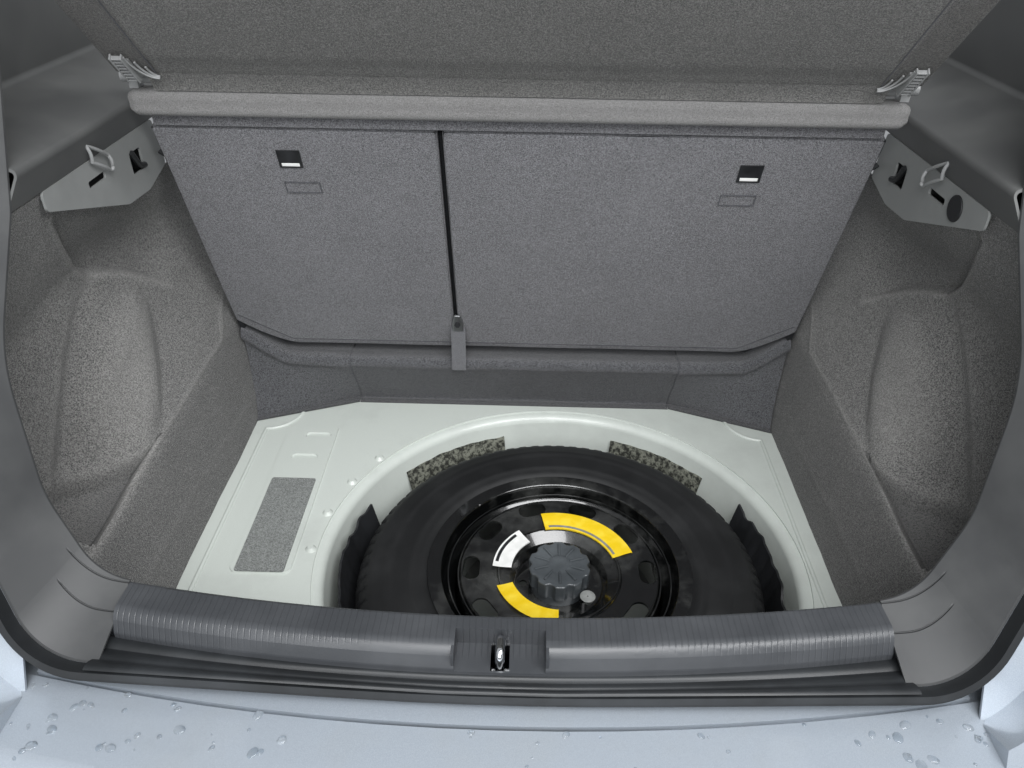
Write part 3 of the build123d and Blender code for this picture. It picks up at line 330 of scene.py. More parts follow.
# Polyester fibre, needled into felt and moulded hot, or woven: matt, flecked light and dark, soft at its
# edges. The real pile is under a millimetre, too fine to show, so the grain is drawn at 1 to 2 mm.
side_felt = felt("side_needle_felt", "#444444", "#969592", "#c6c4c0")
step_felt = felt("step_needle_felt", "#2b2c2f", "#66676b", "#909194")
back_felt = felt("seat_back_felt", "#4a4a4d", "#8f8f93", "#b0b0b2", 0.0013)
shelf_under_felt = felt("shelf_felt", "#434341", "#82817e", "#a5a39f", 0.0015)
# A darker copy of the shelf felt, as painted shade on the board's side bands.
shelf_side_shaded_felt = felt("shelf_side_shaded_felt", "#3a3a38", "#6e6c69", "#908e8a", 0.0015)
bar_sleeve_felt = felt("bar_felt", "#6c6b6a", "#929190", "#a6a5a4", 0.0010)
pan_felt = felt("floor_pad_felt", "#606462", "#989c99", "#c2c5c2", 0.0018)
seat_weave = felt("seat_cloth", "#2c2f34", "#5a5e66", "#7e828a", 0.0011, 0.35)
thread = felt("sewing_thread", "#3a3b40", "#5c5d62", "#77787c", 0.0006, 0.2)
webbing = felt("webbing", "#4a4b4e", "#76777b", "#94959a", 0.0008, 0.3)
# A near-black felt for the sheets that stand in gaps as painted shade.
painted_shade_liner = felt("painted_shade_liner", "#0e0f10", "#1e1f22", "#2f3034", 0.0016, 0.0)

# Polypropylene moulded in a grained tool: a dull, even skin with a 1 mm leather grain, paler where it is
# scuffed. The knob is smoother and shines. Rubbers are extruded or cured, darker, and matt.
pillar_plastic = grained("pillar_plastic", "#3c3d3e", "#484949", 0.48, grooves=corner_grooves)
upper_plastic = grained("upper_plastic", "#4b4c4c", "#575857", 0.52)
support_plastic = grained("support_plastic", "#7e807f", "#8d8f8e", 0.45)
sill_plastic = grained("sill_plastic", "#393b3e", "#46484b", 0.34, grooves=sill_grooves)
black_plastic = grained("black_plastic", "#18191b", "#26282b", 0.5)
clip_plastic = grained("clip_plastic", "#8a8b8b", "#9a9c9c", 0.42)
knob_plastic = grained("smoky_plastic", "#3c4043", "#5b6063", 0.2, 0.004, 0.15)
seal_rubber = grained("seal_rubber", "#1d1f21", "#2d3033", 0.45, 0.0014)
tyre_rubber = grained("tyre_rubber", "#141516", "#232425", 0.6, 0.0016, 0.25)
# Near-black for the pockets behind holes: painted shade.
pocket_painted_shade = grained("pocket_painted_shade", "#0b0c0d", "#151618", 0.6)

# Silver lacquer over the outside, thin body colour inside, enamel baked on the wheel, and plated or
# bare metal: glints of flake, a faint orange peel of 4 mm, and a film of dust in patches.
body_paint = paint("body_paint", "#98a0a9", "#b7bfc8", 1.0, 0.3)
floor_paint = paint("floor_paint", "#c3c9c3", "#d2d8d3", 0.3, 0.0, 0.4)
wheel_paint = paint("wheel_enamel", "#090a0a", "#101112", 1.0, 0.0, 0.2)
beam_metal = paint("beam_metal", "#3a3c3f", "#4f5154", 0.1, 0.3)
zinc = paint("zinc_plate", "#8c8e90", "#acaeb0", 0.0, 0.9, 0.36)
chrome = paint("chrome", "#d6d8da", "#e6e8ea", 0.5, 1.0, 0.1)

# Bitumen sheet, printed paper stock and rain: mottled and matt, flat and clean, and clear.
damping_mat = damping("damping_mat")
label_yellow = printed("label_yellow", "#e3c018", "#edd03a")
label_white = printed("label_white", "#dfe0dd", "#f0f0ee")
label_black = printed("label_black", "#17181a", "#26272a")
label_grey = printed("label_grey", "#6f716f", "#8b8d8b")
water = clear_drop()

# The look of each finish in the record.
looks = {
    "bar_felt": bar_sleeve_felt,
    "beam_metal": beam_metal,
    "black_plastic": black_plastic,
    "body_paint": body_paint,
    "bumper_paint": body_paint,
    "clip_plastic": clip_plastic,
    "damping_mat": damping_mat,
    "floor_felt": pan_felt,
    "floor_paint": floor_paint,
    "knob_plastic": knob_plastic,
    "pillar_plastic": pillar_plastic,
    "seal_rubber": seal_rubber,
    # The seat back panels are black; where the felt is cut away at the outer lower corner, the black shows as
    # a painted shadow line.
    "seat_carpet": black_plastic,
    "seat_cloth": seat_weave,
    "shelf_felt": shelf_under_felt,
    "side_felt": side_felt,
    "sill_plastic": sill_plastic,
    "step_felt": step_felt,
    "striker_chrome": chrome,
    "support_plastic": support_plastic,
    "tyre_rubber": tyre_rubber,
    "wheel_paint": wheel_paint,
    "zinc_steel": zinc,
}
for part in frame["record"]["subparts"]:
    shown = nodes[part["node"]]
    look = looks[part["material_slot"]]
    if part["node"].startswith("upper_trim"):
        look = upper_plastic
    if part["node"] == "rear_panel":
        look = body_paint
    shown.data.materials.clear()
    shown.data.materials.append(look)


def apply_all(shown):
    """Applies a piece's modifiers in their order."""
    bpy.context.view_layer.objects.active = shown
    shown.select_set(True)
    for step in list(shown.modifiers):
        bpy.ops.object.modifier_apply(modifier=step.name)
    shown.select_set(False)


def named(name):
    """The primitive that was just added, under its own name."""
    shown = bpy.context.object
    shown.name = shown.data.name = name
    return shown


def grid(name, rows, columns):
    """A flat grid with that many points each way, for a piece to be laid out from."""
    bpy.ops.object.select_all(action="DESELECT")
    bpy.ops.mesh.primitive_grid_add(x_subdivisions=columns - 1, y_subdivisions=rows - 1, size=1)
    return named(name)


def block(name, size, radius, step):
    """A cube brought to size, its edges rounded and its faces cut at each step; gives it and its points."""
    bpy.ops.object.select_all(action="DESELECT")
    bpy.ops.mesh.primitive_cube_add(size=1, location=(0, 0, 0))
    shown = named(name)
    bpy.ops.object.mode_set(mode="EDIT")
    bpy.ops.mesh.select_all(action="SELECT")
    bpy.ops.transform.translate(value=(0.5, 0.5, 0.5))
    bpy.ops.transform.resize(value=size, center_override=(0, 0, 0))
    radius = min(radius, min(size) / 2 - 0.01)
    bpy.ops.mesh.bevel(offset=radius, segments=6, affect="EDGES")
    for axis, length in enumerate(size):
        spans = max(1, round((length - 2 * radius) / step))
        for cut in range(1, spans):
            at, way = [0, 0, 0], [0, 0, 0]
            at[axis], way[axis] = radius + (length - 2 * radius) * cut / spans, 1
            bpy.ops.mesh.select_all(action="SELECT")
            bpy.ops.mesh.bisect(plane_co=at, plane_no=way)
    bpy.ops.object.mode_set(mode="OBJECT")
    return shown, [tuple(vertex.co) for vertex in shown.data.vertices]


def select_only(shown, chosen):
    """Leaves only the chosen points of a mesh selected, and goes into edit mode."""
    for part in (shown.data.polygons, shown.data.edges, shown.data.vertices):
        part.foreach_set("select", [False] * len(part))
    for vertex in chosen:
        shown.data.vertices[vertex].select = True
    bpy.ops.object.mode_set(mode="EDIT")


def piece(
    shown,
    points,
    look,
    body="root",
    stands_for=(),
    thick=0,
    rounds=0,
    sharp=35,
    values=None,
    weld=False,
):
    """Lays a start out through points in millimetres, then walls, smooths and dresses it on its body."""
    if points:
        places = [share for point in points for share in place(*point)]
        shown.data.vertices.foreach_set("co", places)
    for label, amounts in (values or {}).items():
        shade = shown.data.attributes.new(label, "FLOAT", "POINT")
        shade.data.foreach_set("value", np.asarray(amounts, np.float32))
    bpy.context.view_layer.objects.active = shown
    bpy.ops.object.mode_set(mode="EDIT")
    bpy.ops.mesh.select_all(action="SELECT")
    if weld:
        bpy.ops.mesh.remove_doubles(threshold=WELD)
    bpy.ops.mesh.normals_make_consistent(inside=False)
    bpy.ops.object.mode_set(mode="OBJECT")
    if thick:
        wall = shown.modifiers.new("wall", "SOLIDIFY")
        wall.thickness = abs(thick) / 1000
        wall.offset = -1 if thick > 0 else 1
    if rounds:
        shown.modifiers.new("rounds", "SUBSURF").levels = rounds
    apply_all(shown)
    shown.data.polygons.foreach_set("use_smooth", [True] * len(shown.data.polygons))
    shown.data.set_sharp_from_angle(angle=math.radians(sharp))
    shown.data.materials.append(look)
    if body:
        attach(shown, body)
    if stands_for:
        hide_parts(*stands_for)
    return shown


def smooth_step(value, low, high):
    """From 0 to 1 between two values, gently at both ends."""
    share = min(max((value - low) / (high - low), 0), 1)
    return share * share * (3 - 2 * share)


def waves(x, y, z, size, seed=0.0):
    """Smooth noise between about -1 and 1, with waves of that many millimetres."""
    return noise.noise(Vector((x / size + seed, y / size - seed, z / size + 2 * seed)))


def tube(name, path, radius, look, body="root", sides=8):
    """A round bar along points, or a ring where they come back: a bevelled curve made a mesh."""
    ring = path[0] == path[-1]
    path = path[:-1] if ring else path
    bpy.ops.object.select_all(action="DESELECT")
    bpy.ops.curve.primitive_nurbs_path_add(location=(0, 0, 0))
    shown = named(name)
    line = shown.data
    line.splines.clear()
    run = line.splines.new("POLY")
    run.points.add(len(path) - 1)
    for point, at in zip(run.points, path):
        point.co = (*place(*at), 1)
    run.use_cyclic_u = ring
    line.bevel_depth = radius / 1000
    line.bevel_resolution = sides // 2 - 2
    line.use_fill_caps = not ring
    bpy.ops.object.convert(target="MESH")
    return piece(bpy.context.object, None, look, body, weld=True)


def turned(
    name, profile, centre, look, steps=96, sweep=(0, 360), shape=None, stands_for=(), closed=False
):
    """A profile of radius and height spun about an upright axis; shape then moves its points."""
    bpy.ops.object.select_all(action="DESELECT")
    bpy.ops.mesh.primitive_circle_add(vertices=len(profile), radius=1, location=(0, 0, 0))
    shown = named(name)
    first, last = (math.radians(angle) for angle in sweep)
    for vertex, (r, z) in zip(shown.data.vertices, profile):
        vertex.co = (r * math.cos(first), r * math.sin(first), z)
    if not closed:
        select_only(shown, (0, len(profile) - 1))
        bpy.ops.mesh.delete(type="EDGE")
    bpy.ops.object.mode_set(mode="EDIT")
    bpy.ops.mesh.select_all(action="SELECT")
    bpy.ops.mesh.spin(steps=steps, angle=SPIN * (last - first), center=(0, 0, 0), axis=(0, 0, 1))
    bpy.ops.mesh.select_all(action="SELECT")
    bpy.ops.mesh.remove_doubles(threshold=0.001)
    bpy.ops.object.mode_set(mode="OBJECT")
    points = []
    for x, y, z in (vertex.co for vertex in shown.data.vertices):
        r, angle = math.hypot(x, y), math.radians(round(math.degrees(math.atan2(y, x)), 3))
        angle += math.tau if angle < first - 0.001 else 0
        r, z = shape(r, z, angle) if shape else (r, z)
        points.append((centre[0] + r * math.cos(angle), centre[1] + r * math.sin(angle), z))
    return piece(shown, points, look, "root", stands_for, sharp=40)


def swell(shown, frames, cap, voxel=6.0, pressure=4.0):
    """Blows a soft piece up a little as cloth, caps how far it went, and smooths it."""
    shown.modifiers.new("even", "REMESH").voxel_size = voxel / 1000
    apply_all(shown)
    rest = [v.co.copy() for v in shown.data.vertices]
    cloth = shown.modifiers.new("cloth", "CLOTH")
    cloth.settings.use_pressure = True
    cloth.settings.uniform_pressure_force = pressure
    cloth.settings.effector_weights.gravity = 0
    cloth.settings.mass = 0.3
    for step in range(1, frames + 1):
        scene.frame_set(step)
    bpy.context.view_layer.update()
    grown = shown.evaluated_get(bpy.context.evaluated_depsgraph_get()).to_mesh()
    moved = [v.co.copy() for v in grown.vertices]
    shown.modifiers.remove(cloth)
    scene.frame_set(1)
    for vertex, before, after in zip(shown.data.vertices, rest, moved):
        step = after - before
        if step.length > cap / 1000:
            step = step.normalized() * cap / 1000
        vertex.co = before + step
    fine = shown.modifiers.new("soft", "SMOOTH")
    fine.iterations = 4
    apply_all(shown)
    shown.data.polygons.foreach_set("use_smooth", [True] * len(shown.data.polygons))


# Camera, as the photograph was taken.
eye = Vector((0.0172, -1.3012, 0.9863))
pitch, yaw, roll = math.radians(34.43), math.radians(-0.97), math.radians(0.80)
ahead = Vector((math.sin(yaw) * math.cos(pitch), math.cos(yaw) * math.cos(pitch), -math.sin(pitch)))
level_right = Vector((math.cos(yaw), -math.sin(yaw), 0))
level_up = level_right.cross(ahead)
right = math.cos(roll) * level_right + math.sin(roll) * level_up
up = -math.sin(roll) * level_right + math.cos(roll) * level_up
bpy.ops.object.camera_add(location=eye)
camera = bpy.context.object
camera.matrix_world = Matrix.Translation(eye) @ Matrix((right, up, -ahead)).transposed().to_4x4()
camera.data.sensor_width = 36
camera.data.lens = 27.04
camera.data.clip_start = 0.02
scene.camera = camera
scene.view_settings.view_transform = "Standard"


# Side carpets: a soft moulded sheet through the same sections as the solids, with its folds.
def carpet_section(y):
    """The sheet's five points across at one place along the car, curved between the rows."""
    rows = CARPET_ROWS
    k = max(i for i in range(len(rows) - 1) if rows[i][0] <= y)
    share = min((y - rows[k][0]) / (rows[k + 1][0] - rows[k][0]), 1)
    before, after = rows[max(k - 1, 0)], rows[min(k + 2, len(rows) - 1)]
    values = []
    for n in range(1, 9):
        a, b = rows[k][n], rows[k + 1][n]
        gap = rows[k + 1][0] - rows[k][0]
        lean_a = (b - before[n]) / max(rows[k + 1][0] - before[0], 1) * gap
        lean_b = (after[n] - a) / max(after[0] - rows[k][0], 1) * gap
        s2, s3 = share**2, share**3
        curve = (
            (2 * s3 - 3 * s2 + 1) * a
            + (s3 - 2 * s2 + share) * lean_a
            + (3 * s2 - 2 * s3) * b
            + (s3 - s2) * lean_b
        )
        values.append(0.5 * curve + 0.5 * (a + (b - a) * share))
    corners = [Vector((CABIN - 10, -250))]
    corners += [Vector((CABIN + values[n], values[n + 1])) for n in (0, 2, 4, 6)]
    return corners


def along_section(corners, share, soft=26):
    """A point along the section, by its share of each span, with rounded corners."""
    spans = len(corners) - 1
    k = min(int(share * spans), spans - 1)
    t = share * spans - k
    at = corners[k].lerp(corners[k + 1], t)
    for n in (k, k + 1):
        if 0 < n < spans:
            away = (at - corners[n]).length
            if away < soft:
                pull = (1 - away / soft) ** 2 * 0.25
                middle = (
                    (corners[n - 1] - corners[n]).normalized() + (corners[n + 1] - corners[n]).normalized()
                )
                at = at + middle * soft * pull
    return at


def rear_cut(z):
    """Where the sheet starts, behind the surround's inner edge."""
    lean = math.radians(26)
    return max(76.6, 22 + (73.6 + (z + 30) * math.sin(lean)) / math.cos(lean))


# Folds of the sheet, forward and up: the upper crease, the ridge, the pocket's edge, the long fold, the foot.
UPPER_FOLD = [(386, 295), (428, 242), (482, 184), (508, 160), (542, 147), (580, 128), (612, 104), (650, 72)]
RIDGE = [
    (508, 159), (472, 150), (449, 136), (429, 116), (411, 97), (389, 71), (367, 44), (341, 13), (314, -18),
    (290, -46),
]
VALLEY = [(505, 150), (480, 138), (450, 108), (420, 75), (393, 40), (362, 0), (330, -40)]
POCKET_EDGE = [(290, -46), (304, -50), (330, -61), (349, -66), (369, -68), (393, -70), (425, -70)]
LONG_FOLD = [
    (760, 8), (730, -12), (690, -50), (594, -56), (522, -64), (454, -72), (403, -80), (351, -89), (302, -96),
    (259, -101), (210, -106),
]
FOOT_FOLD = [(760, -212), (691, -201), (578, -190), (468, -187), (374, -189), (270, -193)]


def reach(y, z, line):
    """Distance of many points from a folded line."""
    nearest = np.full(y.shape, 1e9)
    for (ay, az), (by, bz) in zip(line, line[1:]):
        dy, dz = by - ay, bz - az
        t = np.clip(((y - ay) * dy + (z - az) * dz) / (dy * dy + dz * dz), 0, 1)
        nearest = np.minimum(nearest, np.hypot(y - ay - t * dy, z - az - t * dz))
    return nearest


def inside(y, z, ring):
    """Which of many points lie in a polygon."""
    within = np.zeros(y.shape, bool)
    for (ay, az), (by, bz) in zip(ring, ring[1:] + ring[:1]):
        spans = (az > z) != (bz > z)
        within ^= spans & (y < (by - ay) * (z - az) / ((bz - az) or 1e-9) + ay)
    return within


def eased(value, high):
    """From 0 to 1 up to a value, for many points, gently at both ends."""
    share = np.clip(value / high, 0, 1)
    return share * share * (3 - 2 * share)


def fold_height(y):
    """Height of the long fold, under which the sheet gets painted shade."""
    return -112 + 0.105 * (y - 150)


def ridge_along(away, width):
    """How much a fold of that width stands up, by distance from its line."""
    return np.exp(-((away / width) ** 2))


def side_carpet(side):
    """The sheet on one side: its sections, then hollows, bulge and folds, paler folds that are part rubbed
    felt and part painted highlight, a painted highlight on the bulge, and painted shade under the long fold
    and in the hollows.
    """
    label = "right" if side > 0 else "left"
    rows, columns = 150, 170
    points = []
    for r in range(rows):
        share = r / (rows - 1)
        y0 = 77
        for turn in range(5):
            y0 = rear_cut(along_section(carpet_section(y0), share)[1])
        for c in range(columns):
            y = y0 + (791 - y0) * c / (columns - 1)
            x, z = along_section(carpet_section(y), share)
            points.append((x + 1.4 * waves(y, z, side * 50, 90) + 0.5 * waves(y, z, side * 90, 28), y, z))
    x, y, z = (np.array(column) for column in zip(*points))
    row, column = np.divmod(np.arange(len(points)), columns)
    edge = eased(row, 6) * eased(rows - 1 - row, 6) * eased(column, 7) * eased(columns - 1 - column, 5)
    upper, ridge, pocket, long_fold, foot = (
        reach(y, z, line) for line in (UPPER_FOLD, RIDGE, POCKET_EDGE, LONG_FOLD, FOOT_FOLD)
    )
    recess_ring = UPPER_FOLD + [(720, 120), (660, 230), (600, 262), (500, 275), (420, 320)]
    recess = inside(y, z, recess_ring) * eased(upper, 12) * eased(reach(y, z, recess_ring[7:]), 70)
    pocket_ring = POCKET_EDGE + [
        (454, -72), (403, -80), (351, -89), (302, -96), (240, -103), (225, -80), (262, -56)
    ]
    sunk = inside(y, z, pocket_ring) * eased(np.minimum(pocket, long_fold), 8)
    run, over = (y - 468) * 0.765 + (z - 28) * 0.647, (y - 468) * -0.647 + (z - 28) * 0.765
    bulge = eased(1 - (run / 150) ** 2 - ((over + 10) / 62) ** 2, 1)
    valley = ridge_along(reach(y, z, VALLEY), 17)
    lines = 1.4 * ridge_along(upper, 8) + 1.0 * ridge_along(ridge, 9)
    lines += 2.4 * ridge_along(long_fold, 7) + 1.2 * ridge_along(foot, 7)
    x += edge * (15 * recess + 10 * sunk + 8 * valley - 19 * bulge - lines)
    z -= edge * 24 * sunk
    # Paler along the folds, partly rubbed felt and partly painted highlight, and a painted highlight over the
    # bulge.
    worn = 0.3 * ridge_along(upper, 4) + 0.1 * ridge_along(ridge, 5) + 0.2 * ridge_along(long_fold, 3.5)
    worn += 0.1 * ridge_along(foot, 3.5) + 0.14 * ridge_along(pocket, 3) + 0.2 * bulge
    # Painted shade under the long fold, in the sunk pocket and in the recess.
    shade = 0.45 * eased(fold_height(y) - z, 16) + 0.5 * sunk + 0.25 * recess
    values = {"worn": worn * edge, "shade": shade}
    start = grid(f"side_carpet_sheet_{label}", rows, columns)
    piece(
        start,
        list(zip(side * x, y, z)),
        side_felt,
        "root",
        (f"side_carpet_{label}",),
        thick=-3 * side,
        values=values,
    )


side_carpet(1)
side_carpet(-1)


# Step carpets: a felt moulding with a rolled upper edge and a lip on the floor.
def step_section(share, foot, top, back):
    """The sheet from its lip on the floor, up the step, over the roll and under the seats."""
    run = [
        (foot - 13, -248.6), (foot - 3, -247), (foot + 1, -238), (top + 9, -152), (top - 1, -134),
        (top + 1, -123), (top + 10, -118.5), (top + 26, -120.5), (back, -121.5),
    ]
    spans = len(run) - 1
    k = min(int(share * spans), spans - 1)
    t = share * spans - k
    p = [Vector(run[min(max(k + i, 0), spans)]) for i in (-1, 0, 1, 2)]
    return 0.5 * (
        2 * p[1]
        + (p[2] - p[0]) * t
        + (2 * p[0] - 5 * p[1] + 4 * p[2] - p[3]) * t**2
        + (3 * p[1] - p[0] - 3 * p[2] + p[3]) * t**3
    )


def step_sheet(name, start, end, columns, ends, stands_for):
    """A step carpet between two places across the car; ends gives foot, top and back there."""
    rows, points, shade = 50, [], []
    for r in range(rows):
        for c in range(columns):
            share = c / (columns - 1)
            x = start + (end - start) * share
            foot, top, back = [a + (b - a) * share for a, b in zip(*ends)]
            y, z = step_section(r / (rows - 1), foot, top, back)
            sag = 1.2 * waves(x, y, z, 70) + 0.5 * waves(x, y, z, 22)
            flare = 10.6 * smooth_step(z, -250, -122) * smooth_step(abs(x), 440, 499)
            inner = smooth_step(r, 2, 8)
            climb = 62 * smooth_step(abs(x), 425, 520) * smooth_step(z, -200, -125)
            points.append((x + math.copysign(flare, x), y + sag * inner, z + 0.4 * sag * inner + climb))
            # Painted shade on the foot lip on the floor and on the ledge behind the roll, under the seats.
            shade.append(1 - smooth_step(r, 6, 10) + smooth_step(r, 39, 44))
    piece(
        grid(name, rows, columns),
        points,
        step_felt,
        "root",
        stands_for,
        thick=3,
        values={"shade": shade},
    )


step_sheet(
    "step_carpet_sheet_centre", -309.5, 309.5, 60, ((796, 742, 806), (796, 742, 806)), ("step_carpet_centre",)
)
for side, label in ((1, "right"), (-1, "left")):
    step_sheet(
        f"step_carpet_sheet_{label}",
        side * 310.3,
        side * 499,
        26,
        ((796, 742, 866), (724, 752, 866)),
        (f"step_carpet_{label}",),
    )
    seam = [(side * 310, *step_section(s / 40, 795, 741, 806)) for s in range(4, 38)]
    tube(f"step_seam_{label}", seam, 1.3, thread)


# Seat backs: felt over the panel's rear face and edges, with a sewn flap and a woven patch.
def on_seat(x, forward, rise):
    """A point in a seat back's own section: along its thickness and up its rear face."""
    y = 766 + forward * math.cos(SEAT_LEAN) - rise * math.sin(SEAT_LEAN)
    z = -100 + forward * math.sin(SEAT_LEAN) + rise * math.cos(SEAT_LEAN)
    return (x, y, z)


def seat_rise(z):
    """How far up a seat back's rear face a height is."""
    return (z + 100) / math.cos(SEAT_LEAN)


def seat_cover(label, left, right):
    """Felt over a seat back's rear face and edges: crowned, a little dented, cut away at its outer corner."""
    hem, deep = 1.5, 20.6
    width, tall = right - left + 2 * hem, SEAT_RISE + 2 * hem
    outer = right if label == "right" else left
    start, points = block(f"seat_back_felt_{label}", (width, tall, deep), 6, 12)
    shaped = []
    for u, v, w in points:
        x = left - hem + u
        away = abs(x - outer)
        # The cut-away corner bares the black panel beneath as a painted shadow line.
        low = 62 * max(0, 1 - away / 100) ** 1.5
        rise = -hem + low + v * (tall - low) / tall
        rear = smooth_step(deep - w, 0, deep)
        across, up_share = (math.sin(math.pi * min(max(s, 0), 1)) for s in (u / width, v / tall))
        crown = 2.6 * across**0.5 * up_share**0.5
        dent = 0.9 * waves(x, rise, 0, 120) + 0.35 * waves(x, rise, 9, 35)
        shaped.append(on_seat(x, -hem + w - rear * (crown + dent), rise))
    piece(start, shaped, back_felt, f"seat_back_{label}")


def seat_patch(name, x0, x1, z0, z1, proud, look, body, thick=1.2, radius=1.0):
    """A thin pad on a seat back's rear face."""
    start, points = block(name, (x1 - x0, seat_rise(z1) - seat_rise(z0), thick), radius, 12)
    piece(
        start,
        [on_seat(x0 + u, -4.4 - proud + w, seat_rise(z0) + v) for u, v, w in points],
        look,
        body,
    )


for label, left, right in (("left", -CABIN, SPLIT - 5), ("right", SPLIT + 5, CABIN)):
    body = f"seat_back_{label}"
    seat_cover(label, left, right)
    middle = -326 if label == "left" else 337
    low = 288 if label == "left" else 278
    seat_patch(f"patch_{label}", middle - 17, middle + 17, low, low + 29, 0.9, label_black, body)
    seat_patch(
        f"patch_band_{label}", middle - 13, middle + 13, low + 3, low + 8, 1.3, label_white, body, 0.8, 0.3
    )
    flap_x, flap_z = (-317, 245) if label == "left" else (330, 237)
    corners = [(-26, 0), (26, 0), (26, 18), (-26, 18), (-26, 0)]
    loop = []
    for (ax, az), (bx, bz) in zip(corners, corners[1:]):
        loop += [
            on_seat(flap_x + ax + (bx - ax) * t / 6, -4.3, seat_rise(flap_z + az + (bz - az) * t / 6))
            for t in range(6)
        ]
    tube(f"flap_seam_{label}", loop + [loop[0]], 0.9, thread, body, 6)
    seam_line = []
    for t in range(61):
        across = left + (right - left) * t / 60
        rise = 14 + 0.72 * max(abs(across) - 420, 0)
        seam_line.append(on_seat(left + 8 + (right - left - 16) * t / 60, -2.6, rise))
    tube(f"foot_seam_{label}", seam_line, 0.7, thread, body, 6)

# Tongues that close the gap between the two seat backs, near-black as painted shade in the gap.
for name, body, x0, x1, w0, w1 in (
    ("gap_tongue_right", "seat_back_right", SPLIT - 1.8, SPLIT + 4, 3, 15),
    ("gap_tongue_left", "seat_back_left", SPLIT - 21, SPLIT + 1, 42, 62),
):
    start, points = block(name, (x1 - x0, SEAT_RISE - 34, w1 - w0), 2, 24)
    piece(start, [on_seat(x0 + u, w0 + w, 30 + v) for u, v, w in points], painted_shade_liner, body)


# Seat fronts and head restraints: foam under cloth, swollen as cloth and drawn in at its channels.
def cushion(label, left, right):
    """A seat back's front: swollen foam, drawn in along three channels across and two bolster seams."""
    start, points = block(f"seat_front_{label}", (right - left - 32, 424, 74), 24, 14)
    shaped = []
    for u, v, w in points:
        depth = w * (1 - 0.2 * smooth_step(v, 255, 424))
        shaped.append(on_seat(left + 16 + u, 20 + depth, 36 + v))
    made = piece(
        start, shaped, seat_weave, f"seat_back_{label}", (f"seat_back_{label}_cushion",)
    )
    swell(made, 16, 9)
    for vertex in made.data.vertices:
        x, y, z = vertex.co.x * 1000, vertex.co.y * 1000 + 830, vertex.co.z * 1000 - 323
        rise = (z + 100) * math.cos(SEAT_LEAN) - (y - 766) * math.sin(SEAT_LEAN)
        forward = (y - 766) * math.cos(SEAT_LEAN) + (z + 100) * math.sin(SEAT_LEAN)
        if forward > 60:
            channel = sum(math.exp(-(((rise - at) / 7) ** 2)) for at in (150, 250, 350))
            bolster = sum(math.exp(-(((x - at) / 7) ** 2)) for at in (left + 80, right - 80))
            sink = 5.5 * min(channel + bolster, 1.0)
            vertex.co.y -= sink * math.cos(SEAT_LEAN) / 1000
            vertex.co.z -= sink * math.sin(SEAT_LEAN) / 1000


cushion("left", -CABIN, SPLIT - 5)
cushion("right", SPLIT + 5, CABIN)
for label, middle, body in (
    ("outer_left", -308.5, "seat_back_left"),
    ("centre", 28, "seat_back_right"),
    ("outer_right", 330, "seat_back_right"),
):
    start, points = block(f"head_pad_{label}", (218, 122, 58), 26, 10)
    shaped = []
    for u, v, w in points:
        shaped.append(on_seat(middle - 109 + u, 36 + w + 5 * (1 - v / 122), SEAT_RISE + 38 + v))
    made = piece(start, shaped, seat_weave, body, (f"head_restraint_{label}",))
    swell(made, 14, 5, 5.0)


# Parcel shelf: a felt-faced board with a pressed border, its hem, and the sleeve on the bar.
def on_shelf(x, back, rise):
    """A point in the shelf's own section: away from its hinge, and up from its underside."""
    tall = rise - SHELF_THICK
    y = SHELF_AT[0] - back * math.cos(SHELF_TILT) + tall * math.sin(SHELF_TILT)
    z = SHELF_AT[1] + back * math.sin(SHELF_TILT) + tall * math.cos(SHELF_TILT)
    return (x, y, z)


corner = 60  # radius of the board's far corners
start, points = block("shelf_board", (2 * HALF_SHELF, SHELF_DEEP, SHELF_THICK), 5.5, 11)
shaped = []
for u, v, w in points:
    over = max(v - (SHELF_DEEP - corner), 0)
    half = HALF_SHELF - corner + math.sqrt(max(corner**2 - over**2, 0))
    x = (u - HALF_SHELF) * half / HALF_SHELF
    away = min(HALF_SHELF - abs(x), v * 1.6, (SHELF_DEEP - v) * 1.6)
    press = 2.6 * smooth_step(away, 44, 60)
    under = smooth_step(SHELF_THICK - w, 0, SHELF_THICK)
    sag = 0.7 * waves(x, v, 0, 140)
    shaped.append(on_shelf(x, 26 + v, w - under * (press + sag * 0.4)))
shelf = piece(start, shaped, shelf_under_felt, "parcel_shelf", ("parcel_shelf",))
# The side bands beyond the folds take the darker copy: painted shade.
shelf.data.materials.append(shelf_side_shaded_felt)
for face in shelf.data.polygons:
    if abs(face.center.x) > 0.462:
        face.material_index = 1
for side in (-1, 1):
    fold = [on_shelf(side * 462, 32 + 300 * t / 30, -2.2) for t in range(31)]
    tube(f"shelf_fold_{'right' if side > 0 else 'left'}", fold, 0.9, thread, "parcel_shelf", 6)

# Rings of points round the bar, between a single point at each end.
bar_at, bar_half, bar_sides = (591, 386), 518, 40
bar_rows = [0, 2, 5, 10, *range(24, 1013, 26), 1026, 1031, 1034, 2 * bar_half]
bar_points = [(-bar_half, *bar_at)] * (bar_sides + 1)
for run in bar_rows:
    near = min(run, 2 * bar_half - run)
    shrink = 1 - 0.3 * (1 - smooth_step(near, 0, 9))
    for k in range(bar_sides + 1):
        turn = 2 * math.pi * (k % bar_sides) / bar_sides
        c, s = math.cos(turn), math.sin(turn)
        y = 20.6 * math.copysign(abs(c) ** 0.62, c)
        z = 17.6 * math.copysign(abs(s) ** 0.62, s)
        groove = 2.4 * math.exp(-(((z + 2) / 3.2) ** 2)) if c < 0 else 0
        bar_points.append((run - bar_half, bar_at[0] + y * shrink + groove, bar_at[1] + z * shrink))
bar_points += [(bar_half, *bar_at)] * (bar_sides + 1)
start = grid("bar_sleeve", len(bar_rows) + 2, bar_sides + 1)
piece(start, bar_points, bar_sleeve_felt, "root", ("shelf_bar",), weld=True)

